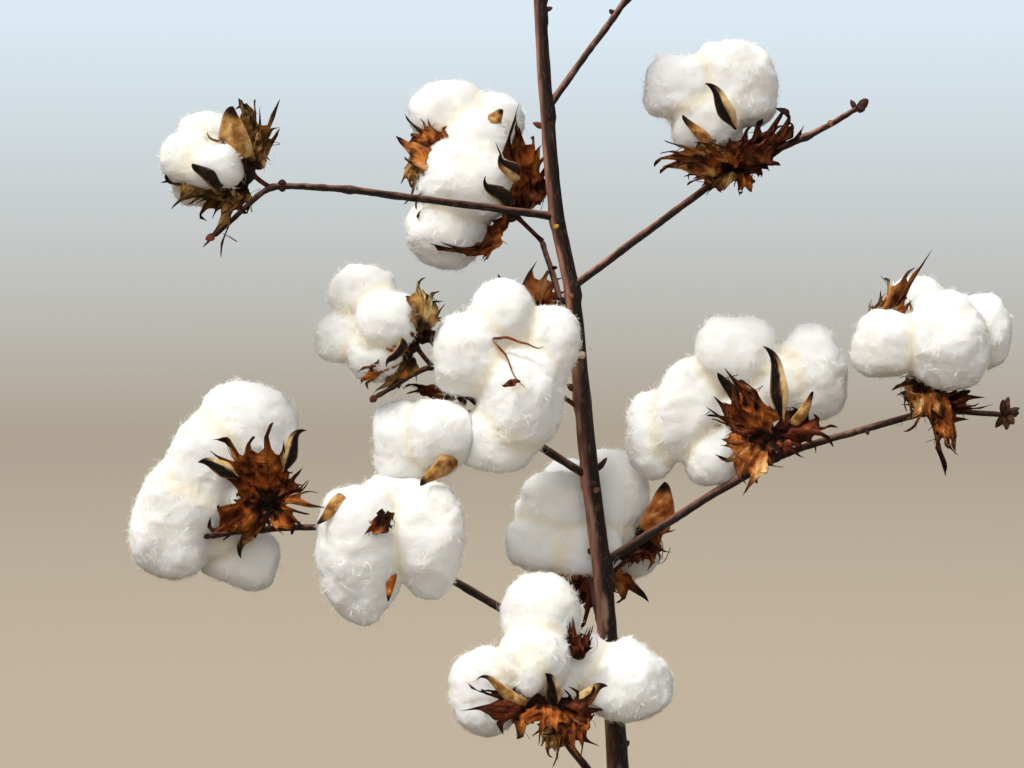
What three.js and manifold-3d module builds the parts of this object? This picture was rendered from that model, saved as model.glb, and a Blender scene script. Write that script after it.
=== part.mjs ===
// A cotton plant at harvest time: bare of leaves, its bolls burst open.
// Millimetres. +Z is up, +X is right and -Y is towards the viewer.
// The origin is the middle of the flat cut at the foot of the main stem, on level ground.
// An angle pair [turn, rise] gives a direction: turn in degrees anticlockwise from +X seen
// from above, rise in degrees above level.

import * as THREE from 'three';
import { mergeVertices } from 'three/addons/utils/BufferGeometryUtils.js';
import Module from 'manifold-3d';

const wasm = await Module();
wasm.setup();

// Gap between pieces that touch on the plant.
const CLEARANCE = 0.3;

// The main stem: its leaning line from the ground to the tip, and its even taper.
const STEM = {
  line: [
    [0, 0, 0], [-3, 2, 90], [-8, 4, 190], [-12, 2, 287], [-18, 0, 363], [-21, 0, 401],
    [-28, 0, 457], [-33, 0, 504], [-39, 0, 565], [-48, 0, 610], [-54, 0, 672],
    [-58, 0, 735], [-61, 3, 810], [-67, 2, 890], [-70, -2, 960],
  ],
  footDiameter: 16.2,
  tipDiameter: 4.4,
  flare: 5,
  flareHeight: 16,
  sides: 8,
  steps: 17,
};

// Limbs, from the ground up. Each leaves the stem at a height and runs from joint to joint,
// a joint being [length, turn, rise] of the stretch that ends there.
const LIMBS = {
  base_right: { height: 105, root: 7, tip: 3, joints: [[100, 24, 32], [70, 16, 16]] },
  base_left: { height: 150, root: 6.6, tip: 3, joints: [[88, 152, 26], [72, 160, 16]] },
  base_front: { height: 196, root: 6.2, tip: 3, joints: [[88, -62, 14], [50, -52, 6]] },
  low_front: { height: 261, root: 5.6, tip: 3.6, joints: [[78, -128, 43]] },
  low_left: {
    height: 339, root: 5.4, tip: 2.8,
    joints: [[71, -166, 34], [74, -169, 32], [50, -168, 18], [36, -166, 0], [30, -166, -6]],
  },
  low_back: { height: 352, root: 5.2, tip: 2.8, joints: [[70, 100, 36], [60, 96, 12]] },
  low_right: { height: 408, root: 5, tip: 3, joints: [[119, -8, 32], [90, -9, 18], [47, -11, -1]] },
  mid_left: { height: 458, root: 4.8, tip: 2.6, joints: [[74, -159, 32], [44, -161, 39], [38, -159, -25]] },
  mid_back: { height: 504, root: 4.8, tip: 3.2, joints: [[60, 112, 60], [46, 119, 58]] },
  mid_right: { height: 569, root: 4.6, tip: 3, joints: [[103, -12, 36], [58, -12, 27], [35, -13, 28]] },
  high_left: { height: 610, root: 4.6, tip: 2.6, joints: [[129, -155, 7], [46, -161, 1], [42, -162, -39]] },
  high_right: { height: 672, root: 4.4, tip: 2.6, joints: [[80, 14, 53], [56, 18, 46], [40, 10, 24]] },
  high_back: { height: 727, root: 4.2, tip: 2.4, joints: [[36, 12, 76], [52, 76, 48]] },
  top_front: { height: 796, root: 4, tip: 2.4, joints: [[58, -104, 36], [34, -96, 20]] },
  top_left: { height: 862, root: 3.8, tip: 2.4, joints: [[60, 168, 32], [32, 160, 18]] },
};
const LIMB = {
  sides: 5, stepsPerStretch: 3, tension: 0.25, rootSwell: 0.35, jointSwell: 0.22, swellLength: 5,
};

// A boll's dry husk: the stalk, the round base of the husk, its split walls and its leafy bracts.
// A blade starts its root away from the boll's axis and its shift along it, and turns by the curl.
const STALK = { diameter: 2.6, sides: 4, steps: 1 };
const CUP = { radius: 6.5, depth: 0.75, sides: 5, rings: 3 };
const VALVE = { length: 40, width: 17, thick: 2.4, curl: -50, root: 5, shift: 2, steps: 2 };
const BRACT = { length: 44, width: 34, thick: 1.3, curl: -24, root: 5, shift: -2.5, cup: 0.16 };

// Half of a bract's toothed outline: [across, along] as shares of its half width and length.
const BRACT_OUTLINE = [[0.14, 0], [1, 0.72], [0.42, 0.62], [0, 1]];

// A boll's cotton: soft lobes round a smaller core that joins them. A lobe's corners stand out
// by the fill, so that its flat sides keep the lobe's real size.
const LOBE = { sides: 6, rings: 4, fill: 1.07, depth: 0.9 };

// The cotton's core: how far from the boll's base it starts, how far past the lobes' middle
// it ends, and its widest radius.
const CORE = { start: 3.2, past: 4, widest: 13 };

// Bolls. Each hangs on a limb's joint, or on the stem at a height, by a short stalk
// [length, turn, rise], and opens along [turn, rise]. Valves and bracts point [turn, rise, length].
// A lobe is [right, back, up, wide, tall, lean] from the boll's base. What a boll leaves out
// follows the rule in the functions below, with its roll about its own axis.
const BOLLS = {
  high_left: {
    on: ['high_left', 2], stalk: [16, -159, 30], opens: [-172, 8],
    valves: [[-117, 70, 36], [176, -26, 46], [120, 30, 36]],
    bracts: [[85, 78, 52], [-150, -52, 40], [100, -20, 34]],
    lobes: [[-23, 3, 22, 30, 26, 0], [-31, -10, 8, 32, 30, 0],
      [-16, -16, 4, 33, 27, 0], [-27, 4, -5, 30, 26, 0]],
  },
  mid_back: {
    on: ['mid_back', 2], stalk: [26, -156, 41], opens: [-150, 34],
    valves: [[-80, 60, 42], [-178, 34, 46], [150, -20, 40], [60, 30, 40], [-70, 10, 30]],
    bracts: [[165, 44, 56], [-20, 66, 50], [-150, -48, 44]],
    lobes: [[-39, 3, 60, 44, 37, 0], [-12, 6, 56, 36, 33, 0], [-21, -14, 40, 38, 38, 0],
      [-28, -25, 19, 54, 44, 20], [-38, -17, -9, 47, 45, 0]],
  },
  mid_right: {
    on: ['mid_right', 1], stalk: [15, -36, 39], opens: [175, 78],
    valves: [[-110, 46, 50], [-172, 22, 46], [20, 30, 40], [110, 34, 40]],
    bracts: [[-172, 8, 50], [-8, 38, 56], [-118, -52, 34]],
    lobes: [[-30, -6, 41, 45, 44, 0], [3, 4, 46, 49, 53, 0], [-17, -6, 24, 36, 32, 0],
      [-8, 22, 44, 38, 38, 0]],
  },
  mid_left: {
    on: ['mid_left', 2], stalk: [18, -171, 46], opens: [-175, 20],
    valves: [[-50, 74, 40], [-176, -50, 40], [120, 20, 38], [-130, -20, 30]],
    bracts: [[50, 74, 48], [-30, -10, 26], [-165, -62, 38]],
    lobes: [[-29, 8, 29, 36, 31, 0], [-14, -8, 15, 35, 35, 0],
      [-38, 5, 4, 34, 29, 0], [-20, -5, -5, 31, 30, 0]],
  },
  stem_upper: {
    height: 497, stalk: [44, -165, 34], opens: [-115, 8], roll: 30,
    lobes: [[-11, -26, 33, 37, 36, 0], [14, -21, 16, 36, 49, 0], [-31, -32, 11, 44, 47, 0],
      [-3, -38, -10, 48, 56, 0], [-13, -30, -37, 45, 36, 0]],
  },
  mid_left_inner: {
    on: ['mid_left', 1], stalk: [20, -157, 2], opens: [-130, -24], roll: 10,
    lobes: [[-27, -7, -14, 42, 50, 0], [-5, -18, -13, 39, 43, 0], [-14, 8, -22, 34, 36, 0]],
  },
  low_left_inner: {
    on: ['low_left', 2], stalk: [28, -137, 78], opens: [-95, -30],
    valves: [[-168, 4, 34], [-88, -64, 44], [0, 10, 30], [90, 30, 36]],
    bracts: [[110, 30, 38], [170, -20, 36], [10, -20, 36]],
    lobes: [[-20, -26, -22, 45, 76, 8], [19, -24, -17, 40, 62, 0], [-1, -12, 5, 40, 32, 0]],
  },
  stem_lower: {
    height: 398, stalk: [46, 57, 25], opens: [-165, 24],
    valves: [[-40, 64, 46], [170, -34, 40], [60, 20, 36]],
    bracts: [[-10, -40, 36], [80, 0, 40], [-150, -66, 34]],
    lobes: [[-54, -5, 11, 54, 54, 0], [-17, 2, 31, 44, 50, 0],
      [-33, -10, -4, 44, 32, 0], [-26, 18, 12, 40, 38, 0]],
  },
  low_front: {
    on: ['low_front', 1], stalk: [11, -91, 64], opens: [120, 66],
    valves: [[-143, 30, 46], [-96, 44, 30], [-20, 28, 42], [100, 40, 36]],
    bracts: [[-148, 14, 54], [-88, -20, 36], [-22, 22, 48]],
    lobes: [[-43, -8, 20, 41, 52, 0], [-12, 5, 61, 44, 50, 0], [-17, -14, 38, 37, 36, 0],
      [38, 14, 19, 55, 47, 0], [10, 16, 32, 40, 36, 0]],
  },
  low_right: {
    on: ['low_right', 1], stalk: [16, -121, 54], opens: [112, 26],
    valves: [[-70, 66, 46], [-174, 18, 36], [10, 22, 40], [170, -40, 34]],
    bracts: [[-160, 34, 46], [-16, 0, 44], [-130, -34, 36]],
    lobes: [[-17, 25, 47, 46, 46, 0], [28, 26, 34, 39, 54, 0], [-46, 26, 13, 40, 60, 10],
      [-65, 31, -1, 31, 54, 0], [-30, 22, -12, 34, 34, 0], [6, 24, 28, 38, 38, 0]],
  },
  low_right_outer: {
    on: ['low_right', 2], stalk: [9, -101, 77], opens: [-95, 82],
    valves: [[150, 58, 50], [10, 8, 38], [-150, 10, 36], [100, 30, 38]],
    bracts: [[-168, -8, 36], [-96, -50, 42], [-4, -6, 42]],
    lobes: [[-26, -16, 30, 35, 37, 0], [9, -18, 32, 44, 54, 0],
      [31, 3, 37, 37, 48, 0], [-4, 12, 51, 38, 36, 0]],
  },
  low_left_outer: {
    on: ['low_left', 4], stalk: [19, -48, 69], opens: [148, 6],
    valves: [[-164, 30, 40], [-52, 62, 46], [168, -34, 40], [70, 10, 36]],
    bracts: [[-104, 62, 54], [-158, -10, 44], [-28, 16, 40]],
    lobes: [[-14, 18, 41, 58, 48, 0], [-37, 15, 20, 42, 50, 20], [-55, 14, -14, 44, 60, 20],
      [-20, 30, -36, 46, 37, 0], [-32, 24, -16, 38, 40, 0]],
  },
  mid_back_inner: { on: ['mid_back', 1], stalk: [26, 135, -25], opens: [120, -35], roll: 20, size: 0.86 },
  low_back_inner: { on: ['low_back', 1], stalk: [18, 60, 40], opens: [60, 36], roll: 10, size: 0.92 },
  low_back_outer: { on: ['low_back', 2], stalk: [18, 104, 34], opens: [98, 14], roll: 40, size: 0.94 },
  base_right: { on: ['base_right', 2], stalk: [20, 24, 44], opens: [14, 36], roll: 20, size: 1 },
  base_left: { on: ['base_left', 2], stalk: [18, 158, 34], opens: [168, 26], roll: 75, size: 0.98 },
  base_front: { on: ['base_front', 2], stalk: [18, -44, 14], opens: [-60, 4], roll: 35, size: 0.95 },
  high_right: { on: ['high_right', 2], stalk: [18, -40, 50], opens: [-30, 60], roll: 15, size: 0.92 },
  high_back: { on: ['high_back', 2], stalk: [16, 84, 54], opens: [88, 40], roll: 40, size: 0.88 },
  top_front: { on: ['top_front', 2], stalk: [15, -84, 46], opens: [-96, 34], roll: 5, size: 0.82 },
  top_left: { on: ['top_left', 2], stalk: [14, 150, 46], opens: [160, 34], roll: 55, size: 0.78 },
};

// How the valves, bracts and lobes that a boll leaves out stand round its axis, for size 1.
const RULE = {
  valves: { count: 4, roll: 0, opening: 92, jitter: 12, length: 40 },
  bracts: { count: 3, roll: 30, opening: 106, jitter: 14, length: 42 },
  lobes: { count: 4, roll: 45, opening: 42, jitter: 10, length: 27 },
  lobeWide: 37, lobeTall: 42, lobeDroop: 4, sizeJitter: 0.16,
};

const MATERIALS = {
  bark: new THREE.MeshStandardMaterial({ color: 0x6b4436, roughness: 0.72, metalness: 0 }),
  husk: new THREE.MeshStandardMaterial({ color: 0x9c5f2e, roughness: 0.85, metalness: 0 }),
  cotton: new THREE.MeshStandardMaterial({ color: 0xf6f3ec, roughness: 0.95, metalness: 0 }),
};

const UP = new THREE.Vector3(0, 0, 1);
const VIEWER = new THREE.Vector3(0, -1, 0);
const RIGHT = new THREE.Vector3(1, 0, 0);

function direction(turn, rise) {
  const t = THREE.MathUtils.degToRad(turn);
  const r = THREE.MathUtils.degToRad(rise);
  return new THREE.Vector3(Math.cos(t) * Math.cos(r), Math.sin(t) * Math.cos(r), Math.sin(r));
}

// Even draws from 0 to 1, the same on every run.
function makeDraw(seed) {
  let state = seed;
  return () => {
    state = (state * 16807) % 2147483647;
    return state / 2147483647;
  };
}

function toSolid(geometry) {
  geometry.deleteAttribute('normal');
  geometry.deleteAttribute('uv');
  const merged = mergeVertices(geometry, 1e-5);
  return new wasm.Manifold(new wasm.Mesh({
    numProp: 3,
    vertProperties: new Float32Array(merged.attributes.position.array),
    triVerts: new Uint32Array(merged.index.array),
  }));
}

function toGeometry(solid) {
  const mesh = solid.getMesh();
  const geometry = new THREE.BufferGeometry();
  geometry.setAttribute('position', new THREE.BufferAttribute(mesh.vertProperties, 3));
  geometry.setIndex(new THREE.BufferAttribute(mesh.triVerts, 1));
  return geometry;
}

// Moves every vertex of a plain shape to where place(x, y, z) puts it.
function bent(geometry, place) {
  const position = geometry.attributes.position;
  for (let i = 0; i < position.count; i += 1) {
    const p = place(position.getX(i), position.getY(i), position.getZ(i));
    position.setXYZ(i, p.x, p.y, p.z);
  }
  return toSolid(geometry);
}

// A round limb along a curve. radiusAt(t) is its radius at t from 0 to 1. A level limb has
// every ring parallel to the ground.
function limb(curve, radiusAt, sides, steps, level) {
  const shape = new THREE.CylinderGeometry(1, 1, 1, sides, steps);
  return bent(shape, (x, y, z) => {
    const t = THREE.MathUtils.clamp(y + 0.5, 0, 1);
    const along = level ? UP : curve.getTangent(t);
    const across = level ? RIGHT : new THREE.Vector3().crossVectors(along, UP).normalize();
    const outward = new THREE.Vector3().crossVectors(across, along);
    const radius = radiusAt(t);
    return curve.getPoint(t).addScaledVector(across, x * radius).addScaledVector(outward, z * radius);
  });
}

const stemCurve = new THREE.CatmullRomCurve3(STEM.line.map((p) => new THREE.Vector3(...p)));
const stemHeight = STEM.line.at(-1)[2];

function stemRadius(height) {
  const taper = THREE.MathUtils.lerp(STEM.footDiameter, STEM.tipDiameter, height / stemHeight) / 2;
  return taper + STEM.flare * Math.exp(-height / STEM.flareHeight);
}

// The point of the stem's line at a height, found by halving.
function stemPoint(height) {
  let low = 0;
  let high = 1;
  for (let i = 0; i < 30; i += 1) {
    const middle = (low + high) / 2;
    if (stemCurve.getPoint(middle).z < height) {
      low = middle;
    } else {
      high = middle;
    }
  }
  return stemCurve.getPoint(low);
}

function stemSolid(grow) {
  const radiusAt = (t) => stemRadius(stemCurve.getPoint(t).z) + grow;
  return limb(stemCurve, radiusAt, STEM.sides, STEM.steps, true);
}

// The joints of a limb as points, starting on the stem's line.
function limbPoints(name) {
  const points = [stemPoint(LIMBS[name].height)];
  for (const [length, turn, rise] of LIMBS[name].joints) {
    points.push(points.at(-1).clone().addScaledVector(direction(turn, rise), length));
  }
  return points;
}

function limbSolid(name, grow) {
  const { root, tip, joints } = LIMBS[name];
  const curve = new THREE.CatmullRomCurve3(limbPoints(name), false, 'catmullrom', LIMB.tension);
  const radiusAt = (t) => {
    const stretch = t * joints.length;
    const nearest = Math.round(stretch);
    const away = Math.abs(stretch - nearest) * joints[Math.min(Math.floor(stretch), joints.length - 1)][0];
    const swell = (nearest === 0 ? LIMB.rootSwell : LIMB.jointSwell) * Math.exp(-away / LIMB.swellLength);
    return (THREE.MathUtils.lerp(root, tip, t) / 2) * (1 + swell) + grow;
  };
  return limb(curve, radiusAt, LIMB.sides, LIMB.stepsPerStretch * joints.length, false);
}

// Where a curled blade runs: from a point, turning away from the axis as it goes.
function bladePath(start, axis, toward, length, curl) {
  const side = toward.clone().addScaledVector(axis, -toward.dot(axis)).normalize();
  const middle = axis.angleTo(toward);
  const turn = THREE.MathUtils.degToRad(curl);
  const across = new THREE.Vector3().crossVectors(axis, side);
  return (t) => {
    const angle = middle + turn * (t - 0.5);
    const along = axis.clone().multiplyScalar(Math.cos(angle)).addScaledVector(side, Math.sin(angle));
    const outward = side.clone().multiplyScalar(Math.cos(angle)).addScaledVector(axis, -Math.sin(angle));
    const chord = middle + turn * (t / 2 - 0.5);
    const point = start.clone()
      .addScaledVector(axis, length * t * Math.cos(chord))
      .addScaledVector(side, length * t * Math.sin(chord));
    return { point, along, outward, across };
  };
}

// A blade leaves the cup a little way out from the boll's axis.
function bladeOf(base, axis, [turn, rise, length], size, kind) {
  const toward = direction(turn, rise);
  const side = toward.clone().addScaledVector(axis, -toward.dot(axis)).normalize();
  const start = base.clone()
    .addScaledVector(side, kind.root * size)
    .addScaledVector(axis, kind.shift * size);
  return bladePath(start, axis, toward, length * size, kind.curl);
}

// One split wall of the husk: a keeled blade, widest near the middle, drawn out to a point.
function valveSolid(base, axis, valve, size, grow) {
  const path = bladeOf(base, axis, valve, size, VALVE);
  const shape = new THREE.ConeGeometry(1, 1, 3, VALVE.steps);
  return bent(shape, (x, y, z) => {
    const t = THREE.MathUtils.clamp(y + 0.5, 0, 1);
    const { point, along, outward, across } = path(t);
    const half = (VALVE.width * size * Math.sin(Math.PI * (0.16 + 0.84 * t))) / 2 + grow * 1.5;
    const spread = Math.abs(x) < 1e-6 ? 0 : Math.sign(x) * half;
    return point
      .addScaledVector(along, (2 * t - 1) * grow)
      .addScaledVector(across, spread)
      .addScaledVector(outward, z > 1e-6 ? VALVE.thick + grow * 1.5 : -grow);
  });
}

// One leafy bract: a curled plate with long teeth at its far edge.
function bractSolid(base, axis, bract, size, grow) {
  const path = bladeOf(base, axis, bract, size, BRACT);
  const half = (BRACT.width * size * (bract[2] / BRACT.length)) / 2;
  const edge = (side) => (
    BRACT_OUTLINE.map(([across, along]) => new THREE.Vector2(side * half * across, along))
  );
  const shape = new THREE.Shape([...edge(1), ...edge(-1).slice(0, -1).reverse()]);
  const larger = 1 + (grow * 1.5) / half;
  return bent(new THREE.ExtrudeGeometry(shape, { depth: 1, bevelEnabled: false }), (x, y, z) => {
    const { point, outward, across } = path(0.5 + (y - 0.5) * larger);
    const lift = -BRACT.cup * (x * x) / half;
    return point
      .addScaledVector(across, x * larger)
      .addScaledVector(outward, lift + (z - 0.5) * (BRACT.thick + 2 * grow));
  });
}

// The frame of a boll: its base, its axis and the two directions square to that.
function bollFrame(name) {
  const { on, height, stalk, opens } = BOLLS[name];
  const root = on ? limbPoints(on[0])[on[1]] : stemPoint(height);
  const [length, turn, rise] = stalk;
  const base = root.clone().addScaledVector(direction(turn, rise), length);
  const axis = direction(...opens);
  const reference = Math.abs(axis.dot(VIEWER)) > 0.9 ? UP : VIEWER;
  const side = reference.clone().addScaledVector(axis, -reference.dot(axis)).normalize();
  const other = new THREE.Vector3().crossVectors(axis, side);
  return { root, base, axis, side, other };
}

// Directions spread evenly round a boll's axis, each [turn, rise, length].
function whorl(frame, kind, roll, draw) {
  const found = [];
  for (let i = 0; i < kind.count; i += 1) {
    const place = kind.roll + roll + (360 * i) / kind.count + (draw() - 0.5) * kind.jitter;
    const around = THREE.MathUtils.degToRad(place);
    const tilt = THREE.MathUtils.degToRad(kind.opening + (draw() - 0.5) * kind.jitter);
    const toward = frame.axis.clone().multiplyScalar(Math.cos(tilt))
      .addScaledVector(frame.side, Math.sin(tilt) * Math.cos(around))
      .addScaledVector(frame.other, Math.sin(tilt) * Math.sin(around));
    const turn = THREE.MathUtils.radToDeg(Math.atan2(toward.y, toward.x));
    const rise = THREE.MathUtils.radToDeg(Math.asin(toward.z));
    found.push([turn, rise, kind.length * (1 + (draw() - 0.5) * RULE.sizeJitter)]);
  }
  return found;
}

// A boll's own shapes, or those that the rule gives it.
function bollShapes(name) {
  const boll = BOLLS[name];
  const frame = bollFrame(name);
  const size = boll.size ?? 1;
  const roll = boll.roll ?? 0;
  const draw = makeDraw(100 + Object.keys(BOLLS).indexOf(name));
  const valves = boll.valves ?? whorl(frame, RULE.valves, roll, draw);
  const bracts = boll.bracts ?? whorl(frame, RULE.bracts, roll, draw);
  const lobes = boll.lobes ?? whorl(frame, RULE.lobes, roll, draw).map(([turn, rise, reach]) => {
    const p = direction(turn, rise).multiplyScalar(reach * size);
    const wide = RULE.lobeWide * size * (1 + (draw() - 0.5) * RULE.sizeJitter);
    const tall = RULE.lobeTall * size * (1 + (draw() - 0.5) * RULE.sizeJitter);
    return [p.x, p.y, p.z - RULE.lobeDroop * size, wide, tall, 0];
  });
  return { frame, size, valves, bracts, lobes };
}

function huskSolid(name, grow) {
  const { frame, size, valves, bracts } = bollShapes(name);
  const curve = new THREE.LineCurve3(frame.root, frame.base);
  let solid = limb(curve, () => STALK.diameter / 2 + grow, STALK.sides, STALK.steps, false);
  const cup = bent(new THREE.SphereGeometry(1, CUP.sides, CUP.rings), (x, y, z) => (
    frame.base.clone()
      .addScaledVector(frame.side, z * (CUP.radius * size + grow))
      .addScaledVector(frame.other, x * (CUP.radius * size + grow))
      .addScaledVector(frame.axis, y * (CUP.radius * CUP.depth * size + grow))
  ));
  solid = solid.add(cup);
  for (const valve of valves) {
    solid = solid.add(valveSolid(frame.base, frame.axis, valve, size, grow));
  }
  for (const bract of bracts) {
    solid = solid.add(bractSolid(frame.base, frame.axis, bract, size, grow));
  }
  return solid;
}

// One lobe: a faceted ball, leaning to the right as seen by the viewer.
function ball(centre, wide, deep, tall, lean, grow) {
  const turned = THREE.MathUtils.degToRad(lean);
  const shape = new THREE.SphereGeometry(LOBE.fill, LOBE.sides, LOBE.rings);
  return bent(shape, (x, y, z) => {
    const p = new THREE.Vector3(x * (wide / 2 + grow), -z * (deep / 2 + grow), y * (tall / 2 + grow));
    return p.applyAxisAngle(VIEWER, -turned).add(centre);
  });
}

// The cotton that runs from the husk's base to the middle of the lobes and joins them.
function coreSolid(frame, middle, size, grow) {
  const along = middle.clone().normalize();
  const across = new THREE.Vector3().crossVectors(along, frame.side).normalize();
  const outward = new THREE.Vector3().crossVectors(across, along);
  const half = (middle.length() + CORE.past - CORE.start * size) / 2;
  const radius = Math.min(half, CORE.widest) + grow;
  const shape = new THREE.SphereGeometry(1, LOBE.sides, LOBE.rings);
  return bent(shape, (x, y, z) => (
    frame.base.clone()
      .addScaledVector(along, CORE.start * size + half + y * (half + grow))
      .addScaledVector(across, x * radius)
      .addScaledVector(outward, z * radius)
  ));
}

function cottonSolid(name, grow) {
  const { frame, size, lobes } = bollShapes(name);
  const middle = new THREE.Vector3();
  for (const [right, back, up] of lobes) {
    middle.add(new THREE.Vector3(right, back, up).divideScalar(lobes.length));
  }
  let solid = coreSolid(frame, middle, size, grow);
  for (const [right, back, up, wide, tall, lean] of lobes) {
    const centre = frame.base.clone().add(new THREE.Vector3(right, back, up));
    solid = solid.add(ball(centre, wide, Math.min(wide, tall) * LOBE.depth, tall, lean, grow));
  }
  return solid;
}

// The largest body of a solid: scraps that a cut leaves loose are dropped.
function largest(solid) {
  return solid.decompose().reduce((a, b) => (b.volume() > a.volume() ? b : a));
}

function near(a, b) {
  const p = a.boundingBox();
  const q = b.boundingBox();
  return [0, 1, 2].every((i) => p.min[i] <= q.max[i] && q.min[i] <= p.max[i]);
}

const group = new THREE.Group();
const placed = [];

// Adds a node. It is cut clear of every node that came before it.
function place(name, makeSolid, material) {
  let solid = makeSolid(0);
  for (const other of placed) {
    if (near(solid, other)) {
      solid = solid.subtract(other);
    }
  }
  solid = largest(solid);
  placed.push(makeSolid(CLEARANCE));
  const mesh = new THREE.Mesh(toGeometry(solid), material);
  mesh.name = name;
  group.add(mesh);
}

place('stem', stemSolid, MATERIALS.bark);
for (const name of Object.keys(LIMBS)) {
  place(`bough_${name}`, (grow) => limbSolid(name, grow), MATERIALS.bark);
}
for (const name of Object.keys(BOLLS)) {
  place(`cotton_${name}`, (grow) => cottonSolid(name, grow), MATERIALS.cotton);
}
for (const name of Object.keys(BOLLS)) {
  place(`husk_${name}`, (grow) => huskSolid(name, grow), MATERIALS.husk);
}

export default group;
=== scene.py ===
"""The looks of a cotton plant at harvest: bark, dry husks, white locks and their lint.

Sizes are in millimetres in the tables and in metres in every mesh. +Z is up, +X is right and +Y is
away from the viewer. An angle pair (turn, rise) gives a direction: turn in degrees anticlockwise
from +X seen from above, rise in degrees above level.
"""

import logging
import math
from dataclasses import dataclass, field
from enum import Enum

import bmesh
import bpy
import numpy as np
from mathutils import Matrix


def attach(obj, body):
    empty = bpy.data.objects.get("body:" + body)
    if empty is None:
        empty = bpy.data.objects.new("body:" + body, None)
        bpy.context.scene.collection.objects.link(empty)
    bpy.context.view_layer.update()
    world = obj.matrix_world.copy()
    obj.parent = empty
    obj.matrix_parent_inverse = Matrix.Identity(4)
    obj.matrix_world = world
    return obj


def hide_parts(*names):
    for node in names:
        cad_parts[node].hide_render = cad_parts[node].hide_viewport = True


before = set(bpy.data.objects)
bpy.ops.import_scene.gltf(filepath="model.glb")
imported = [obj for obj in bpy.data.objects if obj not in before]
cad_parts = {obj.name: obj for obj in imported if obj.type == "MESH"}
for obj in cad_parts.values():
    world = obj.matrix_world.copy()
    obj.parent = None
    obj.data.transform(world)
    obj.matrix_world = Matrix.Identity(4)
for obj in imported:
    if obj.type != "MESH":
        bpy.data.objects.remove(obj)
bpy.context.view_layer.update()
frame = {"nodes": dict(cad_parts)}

Array = np.ndarray
Socket = bpy.types.NodeSocket
Material = bpy.types.Material
Object = bpy.types.Object

MM = 0.001
BODY = "root"
RIGHT = np.array([1.0, 0.0, 0.0])
AWAY = np.array([0.0, 1.0, 0.0])
UP = np.array([0.0, 0.0, 1.0])
VIEWER = np.array([0.0, -1.0, 0.0])
log = logging.getLogger("cotton_plant")


def direction(turn: float, rise: float) -> Array:
    """The unit vector of an angle pair.

    Args:
        turn: degrees anticlockwise from +X, seen from above.
        rise: degrees above level.

    Returns:
        A vector of length 1.
    """
    t, r = math.radians(turn), math.radians(rise)
    return np.array([math.cos(t) * math.cos(r), math.sin(t) * math.cos(r), math.sin(r)])


def unit(v: Array) -> Array:
    """Vectors brought to length 1."""
    return v / np.maximum(np.linalg.norm(v, axis=-1, keepdims=True), 1e-12)


def smooth(low: float, high: float, x: Array) -> Array:
    """Rises evenly from 0 at low to 1 at high, with soft ends."""
    t = np.clip((x - low) / (high - low), 0, 1)
    return t * t * (3 - 2 * t)


def colour(tint: object) -> Array:
    """A colour as scene-linear red, green and blue.

    Args:
        tint: the colour as it shows on screen, such as "b4783c", or numbers, which stay as they are.

    Returns:
        Its numbers.
    """
    if not isinstance(tint, str):
        return tint
    c = np.array([int(tint[i:i + 2], 16) / 255 for i in (0, 2, 4)])
    return np.where(c <= 0.04045, c / 12.92, ((c + 0.055) / 1.055) ** 2.4)


def coated(tint: object, *coats: tuple) -> Array:
    """Lays coats over a ground tint, one after the other.

    Args:
        tint: the ground's colour, or one for each point.
        coats: each a colour, or one for each point, and its share for each point.

    Returns:
        A colour for each point.
    """
    tint = colour(tint)
    for coat, share in coats:
        s = np.clip(np.asarray(share), 0, 1)[..., None]
        tint = tint * (1 - s) + colour(coat) * s
    return tint


def lattice(cells: Array, seed: int) -> Array:
    """A fixed value from -1 to 1 for each whole-numbered cell, scattered by large primes.

    Args:
        cells: three whole numbers for each cell.
        seed: picks another pattern.

    Returns:
        One value for each cell.
    """
    i = cells.astype(np.int64)
    n = (i[..., 0] * 73856093) ^ (i[..., 1] * 19349663) ^ (i[..., 2] * 83492791) ^ (seed * 40503 + 977)
    n = ((n ^ (n >> 13)) * 1274126177) & 0x7FFFFFFF
    n = ((n ^ (n >> 15)) * 668265263) & 0x7FFFFFFF
    return n / 0x3FFFFFFF - 1


def noise(points: Array, scale: float, seed: int = 0) -> Array:
    """Smooth noise from -1 to 1.

    Args:
        points: places, three numbers each.
        scale: the size of a lump, in the unit of points.
        seed: picks another pattern.

    Returns:
        One value for each point.
    """
    p = np.asarray(points) / scale
    cell = np.floor(p)
    f = p - cell
    f = f * f * f * (f * (f * 6 - 15) + 10)
    total = np.zeros(p.shape[:-1])
    for corner in np.ndindex(2, 2, 2):
        c = np.array(corner)
        weight = np.prod(np.where(c == 1, f, 1 - f), axis=-1)
        total += weight * lattice(cell + c, seed)
    return total


def curled(past: Array, bend: Array) -> tuple[Array, Array]:
    """How far a line that bends evenly has gone forward and aside.

    Args:
        past: the distance along it.
        bend: its turn for each unit of length, in radians.

    Returns:
        The forward and the aside distances.
    """
    bend = np.where(np.abs(bend) < 1e-3, 1e-3, bend)
    return np.sin(bend * past) / bend, (1 - np.cos(bend * past)) / bend


def turns(count: int) -> Array:
    """Even angles once round, in radians."""
    return np.linspace(0, 2 * math.pi, count, endpoint=False)


def hoop(across: Array, outward: Array, around: Array) -> Array:
    """Directions round a line.

    Args:
        across: a direction square to the line, at one of its points or at each.
        outward: the direction square to both.
        around: angles from across towards outward.

    Returns:
        A row of directions, one for each angle, at each point.
    """
    return across[..., None, :] * np.cos(around)[:, None] + outward[..., None, :] * np.sin(around)[:, None]


def pairs(a: Array, b: Array) -> Array:
    """Two map numbers for each point."""
    return np.stack(np.broadcast_arrays(a, b), -1)


class Fit(Enum):
    """How a spline's tangents are found."""

    EVEN = "even"
    TAUT = "taut"


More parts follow.
